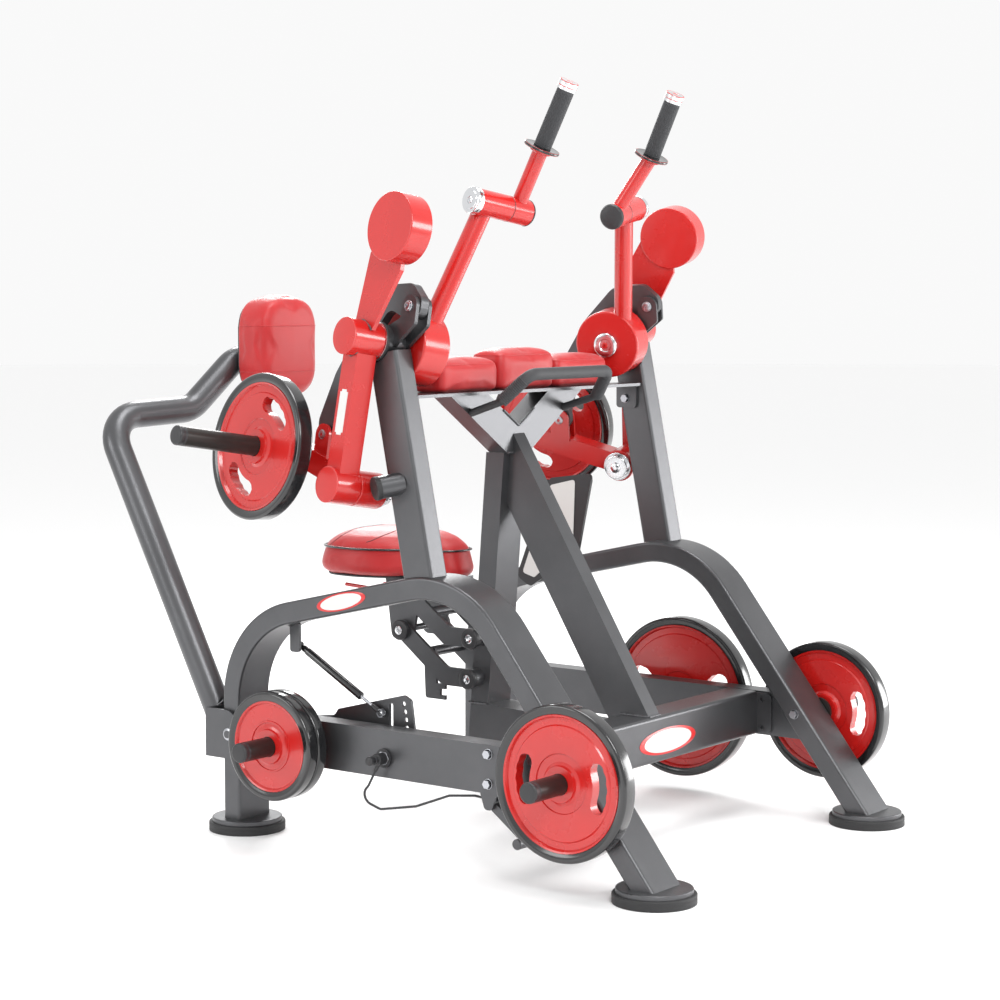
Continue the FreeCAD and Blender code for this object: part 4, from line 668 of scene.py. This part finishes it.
for name, side in SIDES.items():
    weld(name + "_post_weld", [(side * 503, -31, 712), (side * 503, 72, 693), (side * 567, 72, 693),
                               (side * 567, -31, 712)], "frame", radius=4)
weld("strut_foot_weld", [(-26, -303, 327), (26, -303, 327), (26, -212, 327)], "frame", closed=False)
weld("strut_side_weld", [(-26, -212, 327), (-26, -303, 327)], "frame", closed=False)
weld("spine_weld", [(-50, -211, 293), (50, -211, 293)], "frame", closed=False)
weld("column_weld_left", [(-51, 200, 313), (-51, 263, 313)], "frame", closed=False)
weld("brace_weld", [(-50, 131, 990), (50, 131, 990)], "frame", closed=False)
weld("brace_fork_weld", [(-68, 131, 1103), (0, 131, 1060), (68, 131, 1103)], "frame", closed=False)
weld("bracket_weld", [(-555, 722, 286), (-547, 722, 320), (-517, 722, 334), (-487, 722, 320),
                      (-479, 722, 286)], "back_body", closed=False)
socket_bolt("back_pivot_bolt_out", Matrix.Translation((-588, 640, 262)) @ HALF_TURN, "back_body", 16,
            "zinc")
socket_bolt("back_pivot_bolt_in", Matrix.Translation((-444, 640, 262)), "back_body", 15, "zinc")
for tag, y in (("a", 556), ("b", 580)):
    bolt("spacer_bolt_" + tag, Matrix.Translation((-430, y, 262)) @ HALF_TURN, "back_body", 7)

SPRING_TOP, SPRING_FOOT = (-488, 476, 500), (-488, 205, 350)
BALL_RADIUS = 7
ball = [(BALL_RADIUS * math.sin(math.radians(a)), BALL_RADIUS * math.cos(math.radians(a)))
        for a in range(-60, 61, 12)]
for name, spot, body in (("stud_ball", SPRING_FOOT, "back_body"), ("spring_ball", SPRING_TOP, "frame")):
    lathe(name, [(-6, 0)] + ball + [(6, 0)], Matrix.Translation(spot), "chrome", body, segments=32)
SPRING = aimed(SPRING_TOP, SPRING_FOOT)
lathe("spring_barrel", [(10, 0), (10, 7), (16, 8.6), (28, 8.6), (30, 10.1)] + arc_profile(
    (233.5, 8.6), 1.8, 90, 0, 4) + [(235.4, 5), (235.4, 0)], SPRING, "rim_rubber", "gas_cylinder_body",
      segments=48)
lathe("rod_socket", [(276, 0), (276, 5), (279, 6.6), (300, 6.6), (303, 5.4), (303, 0)], SPRING,
      "black_plastic", "gas_rod_body", segments=32)
PLUNGER_LINE = Matrix.Translation((0, 130, 256))
lathe("plunger_knob", [(-628.6, 0), (-628.6, 8)] + arc_profile((-625, 9), 3, 180, 90, 4)
      + [(-615, 12), (-611.8, 11), (-611.8, 0)], PLUNGER_LINE, "black_plastic", "plunger_body")
lathe("plunger_nut", [(-573, 6.5), (-573, 18), (-570.5, 19.5), (-567, 19.5), (-564.8, 18), (-564.8, 6.5)],
      PLUNGER_LINE, "zinc", "frame", segments=6, sharp=15)

PEG_HEADING, PEG_FALL = math.radians(30), -0.16
for name, side in SIDES.items():
    way = Vector((side * math.cos(PEG_HEADING), math.sin(PEG_HEADING), PEG_FALL))
    root = Vector((side * 556, 79, 944))
    peg = aimed(root, root + way)
    lathe(name + "_peg_bumper", [(60, 0), (60, 27.6), (61, 29.4)] + arc_profile((70, 26.4), 3.4, 90, 10, 5)
          + [(74.2, 18), (73.2, 12), (73.2, 0)], peg, "foot_rubber", "frame")
FOOT_X, FOOT_Y = 517, 641
for name, side in SIDES.items():
    for tag, end in (("front", -1), ("rear", 1)):
        base = Matrix.Translation((side * FOOT_X, end * FOOT_Y, 0)) @ ALONG_Z
        profile = [(0, 92), (1, 99.6), (8, 100.3), (10, 99.2), (12, 99.2), (14, 100.3), (18, 100.3)]
        profile += arc_profile((20, 96), 4.3, 90, 0, 5) + [(24.3, 80)]
        lathe("%s_%s_foot_tread" % (name, tag), profile, base, "foot_rubber", "frame", segments=96)


# ------------------------------------------------------------------ grab handle
RIB_PITCH = 5.2
for name, side in SIDES.items():
    low = Vector((side * 213.5, 29, 1134))
    high = Vector((side * 183, -22, 1190))
    sleeve = aimed(low, high)
    length = (high - low).length
    profile = [(0, 10), (0, 15.5)]
    for row in range(int(length / RIB_PITCH)):
        start = 1 + row * RIB_PITCH
        profile += [(start, 16), (start + 1, 17.2), (start + 3.2, 17.2), (start + 4.2, 16)]
    profile += [(length, 15.5), (length, 10)]
    lathe("grab_sleeve_" + name, profile, sleeve, "grip_rubber", "frame")


# ------------------------------------------------------------------ upholstery
def ringed(name, rows, look, body, space=ALONG_X):
    """A closed form from stacked rings of the same number of points."""
    bm = bmesh.new()
    close_rows(bm, [[bm.verts.new(point) for point in row] for row in rows])
    return add(name, mesh_of(name, bm, space), look, body, sharp=60)


def on_skin(pad, starts, ways):
    """Where lines from inside a cushion meet its cover, in millimetres from the feet's middle."""
    tree = BVHTree.FromPolygons([vertex.co for vertex in pad.data.vertices],
                                [face.vertices for face in pad.data.polygons])
    found = []
    for start, way in zip(starts, ways):
        spot = tree.ray_cast(TO_METRES @ Vector(start), Vector(way).normalized())[0]
        if spot is not None:
            found.append(TO_METRES.inverted() @ spot)
    return found


SEAM_FLAT = (2.2, 1)


def seam_level(name, pad, center, radius, body):
    """A seam right round a cushion at the height of its centre, closer together on its ends."""
    turns = [math.radians(4 * k) for k in range(90)]
    ways = [(SEAM_FLAT[0] * math.cos(a), SEAM_FLAT[1] * math.sin(a), 0) for a in turns]
    wire(name, on_skin(pad, [center] * len(ways), ways), radius, "vinyl", body, closed=True)


CLOTH_VOXEL, CLOTH_PRESSURE, CLOTH_STIFFNESS, CLOTH_STEPS = 0.005, 4.0, 18, 20


def apply_modifiers(obj):
    """Replaces the object's mesh with what its modifiers make of it."""
    graph = bpy.context.evaluated_depsgraph_get()
    made = bpy.data.meshes.new_from_object(obj.evaluated_get(graph))
    obj.modifiers.clear()
    looks = list(obj.data.materials)
    obj.data = made
    made.materials.clear()
    for look in looks:
        made.materials.append(look)


def inflate(pad, reach):
    """Swells a closed pad like stuffed fabric: a short cloth run whose moves are capped."""
    bpy.context.view_layer.objects.active = pad
    remesh = pad.modifiers.new("remesh", "REMESH")
    remesh.mode = "VOXEL"
    remesh.voxel_size = CLOTH_VOXEL
    apply_modifiers(pad)
    rest = [vertex.co.copy() for vertex in pad.data.vertices]
    cloth = pad.modifiers.new("cloth", "CLOTH")
    cloth.settings.use_pressure = True
    cloth.settings.uniform_pressure_force = CLOTH_PRESSURE
    cloth.settings.effector_weights.gravity = 0
    cloth.settings.tension_stiffness = CLOTH_STIFFNESS
    cloth.settings.compression_stiffness = CLOTH_STIFFNESS
    scene = bpy.context.scene
    for step in range(1, CLOTH_STEPS + 1):
        scene.frame_set(step)
    apply_modifiers(pad)
    scene.frame_set(1)
    for vertex, start in zip(pad.data.vertices, rest):
        move = vertex.co - start
        if move.length > reach / 1000:
            vertex.co = start + move.normalized() * (reach / 1000)
    soften = pad.modifiers.new("soften", "SMOOTH")
    soften.iterations = 6
    apply_modifiers(pad)
    divide = pad.modifiers.new("divide", "SUBSURF")
    divide.levels = 1
    divide.render_levels = 1
    pad.data.shade_smooth()
    return pad


def smooth_outline(points, count):
    """Evenly spaced points on the closed smooth line through the given ones."""
    line = []
    total = len(points)
    for k in range(total):
        p0, p1, p2, p3 = (Vector(points[(k + j - 1) % total]) for j in range(4))
        for step in range(16):
            t = step / 16
            line.append(0.5 * ((2 * p1) + (p2 - p0) * t + (2 * p0 - 5 * p1 + 4 * p2 - p3) * t * t
                               + (3 * p1 - p0 - 3 * p2 + p3) * t ** 3))
    lengths = [(line[(k + 1) % len(line)] - line[k]).length for k in range(len(line))]
    pitch = sum(lengths) / count
    made, travelled = [], 0.0
    for k, length in enumerate(lengths):
        while len(made) < count and len(made) * pitch <= travelled + length:
            part = (len(made) * pitch - travelled) / length
            made.append(line[k].lerp(line[(k + 1) % len(line)], part))
        travelled += length
    return made


HALF_SEAT = [(0, 752), (92, 742), (148, 700), (168, 630), (166, 560), (140, 486), (100, 428),
             (76, 380), (68, 340), (42, 306)]
SEAT_LINE = smooth_outline(HALF_SEAT + [(0, 296)] + [(-x, y) for x, y in HALF_SEAT[:0:-1]], 96)
SEAT_MIDDLE = Vector((0, 560))


def seat_ring(inset, z):
    """The seat's outline drawn in by inset, at a height."""
    row = []
    for point in SEAT_LINE:
        off = point - SEAT_MIDDLE
        drawn = SEAT_MIDDLE + off * max(0.02, 1 - inset / off.length)
        row.append((drawn.x, drawn.y, z))
    return row


seat = ringed("seat_cover", [seat_ring(26, 641), seat_ring(13, 644), seat_ring(4, 652), seat_ring(1, 666),
                             seat_ring(8, 688), seat_ring(15, 706), seat_ring(19, 716),
                             seat_ring(30, 726), seat_ring(56, 741), seat_ring(96, 754),
                             seat_ring(150, 761)], "vinyl", "seat_body")
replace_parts(inflate(seat, 6), "seat_cushion")
wire("seat_piping", seat_ring(14.5, 715), 3.0, "rim_rubber", "seat_body", closed=True)
for tag, y, reach in (("rear", 640, 140), ("middle", 520, 132)):
    starts = [(reach * math.sin(math.radians(a)), y - 46 * math.cos(math.radians(a)) + 40, 690)
              for a in range(-80, 81, 8)]
    wire("seat_seam_" + tag, on_skin(seat, starts, [(0, 0, 1)] * len(starts)), 1.1, "board",
         "seat_body")
ringed("seat_board", [seat_ring(34, 636.2), seat_ring(27, 637), seat_ring(25, 641), seat_ring(30, 644)],
       "board", "seat_body")


PAD_CROWN, PAD_SWELL = 3, 4


def block_pad(name, low, high, corner, body, node_name, up="z"):
    """A foam block in a sewn cover: rounded outline, soft edges, crowned on its working face."""
    low, high = Vector(low), Vector(high)
    middle = (low + high) / 2
    half = (high - low) / 2
    if up == "z":
        frame_of = Matrix.Translation(middle)
        wide, deep, tall = half.x, half.y, half.z
    else:
        frame_of = Matrix.Translation(middle) @ Matrix.Rotation(math.radians(90), 4, "X")
        wide, deep, tall = half.x, half.z, half.y
    outline = rounded_corners([(-wide, -deep), (wide, -deep), (wide, deep), (-wide, deep)], corner, 10)
    outline = smooth_outline(outline, 96)
    rows = []
    for inset, height in ((10, -tall), (3, -tall + 1.5), (0.5, -tall + 7), (0, -tall * 0.4),
                          (0, tall * 0.3), (2, tall - 14), (7, tall - 6), (16, tall - 1.5),
                          (0.42 * deep, tall + PAD_CROWN * 0.55), (0.8 * deep, tall + PAD_CROWN)):
        row = []
        for point in outline:
            drawn = Vector((math.copysign(max(0.5, abs(point.x) - inset), point.x),
                            math.copysign(max(0.5, abs(point.y) - inset), point.y)))
            row.append((drawn.x, drawn.y, height))
        rows.append(row)
    pad = ringed(name, rows, "vinyl", body, frame_of)
    inflate(pad, PAD_SWELL)
    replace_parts(pad, node_name)
    return pad, middle, tall


PADS = {"center_chest_pad": ((-122, 98, 1159.5), (122, 206, 1259), "center_chest_pad"),
        "left_chest_pad": ((-373, 98, 1159.5), (-128, 206, 1240), "side_chest_pads"),
        "right_chest_pad": ((128, 98, 1159.5), (373, 206, 1240), "side_chest_pads")}
for name, (low, high, node_name) in PADS.items():
    pad, middle, tall = block_pad(name, low, high, 26, "frame", node_name)
    seam_level(name + "_seam", pad, middle + Vector((0, 0, tall - 12)), 1.2, "frame")
pad, middle, tall = block_pad("back_pad", (-118, 931, 1113), (118, 1038, 1399), 96, "back_body",
                              "back_pad", up="y")
for tag, z in (("low", 1187), ("high", 1316)):
    seam_level("back_pad_seam_" + tag, pad, (0, middle.y, z), 1.5, "back_body")
slab("back_pad_board", rounded_corners([(-100, 1132), (100, 1132), (100, 1380), (-100, 1380)], 70), 8,
     Matrix.Translation((0, 1047, 0)) @ FACING_FRONT, "board", "back_body", bevel=2)
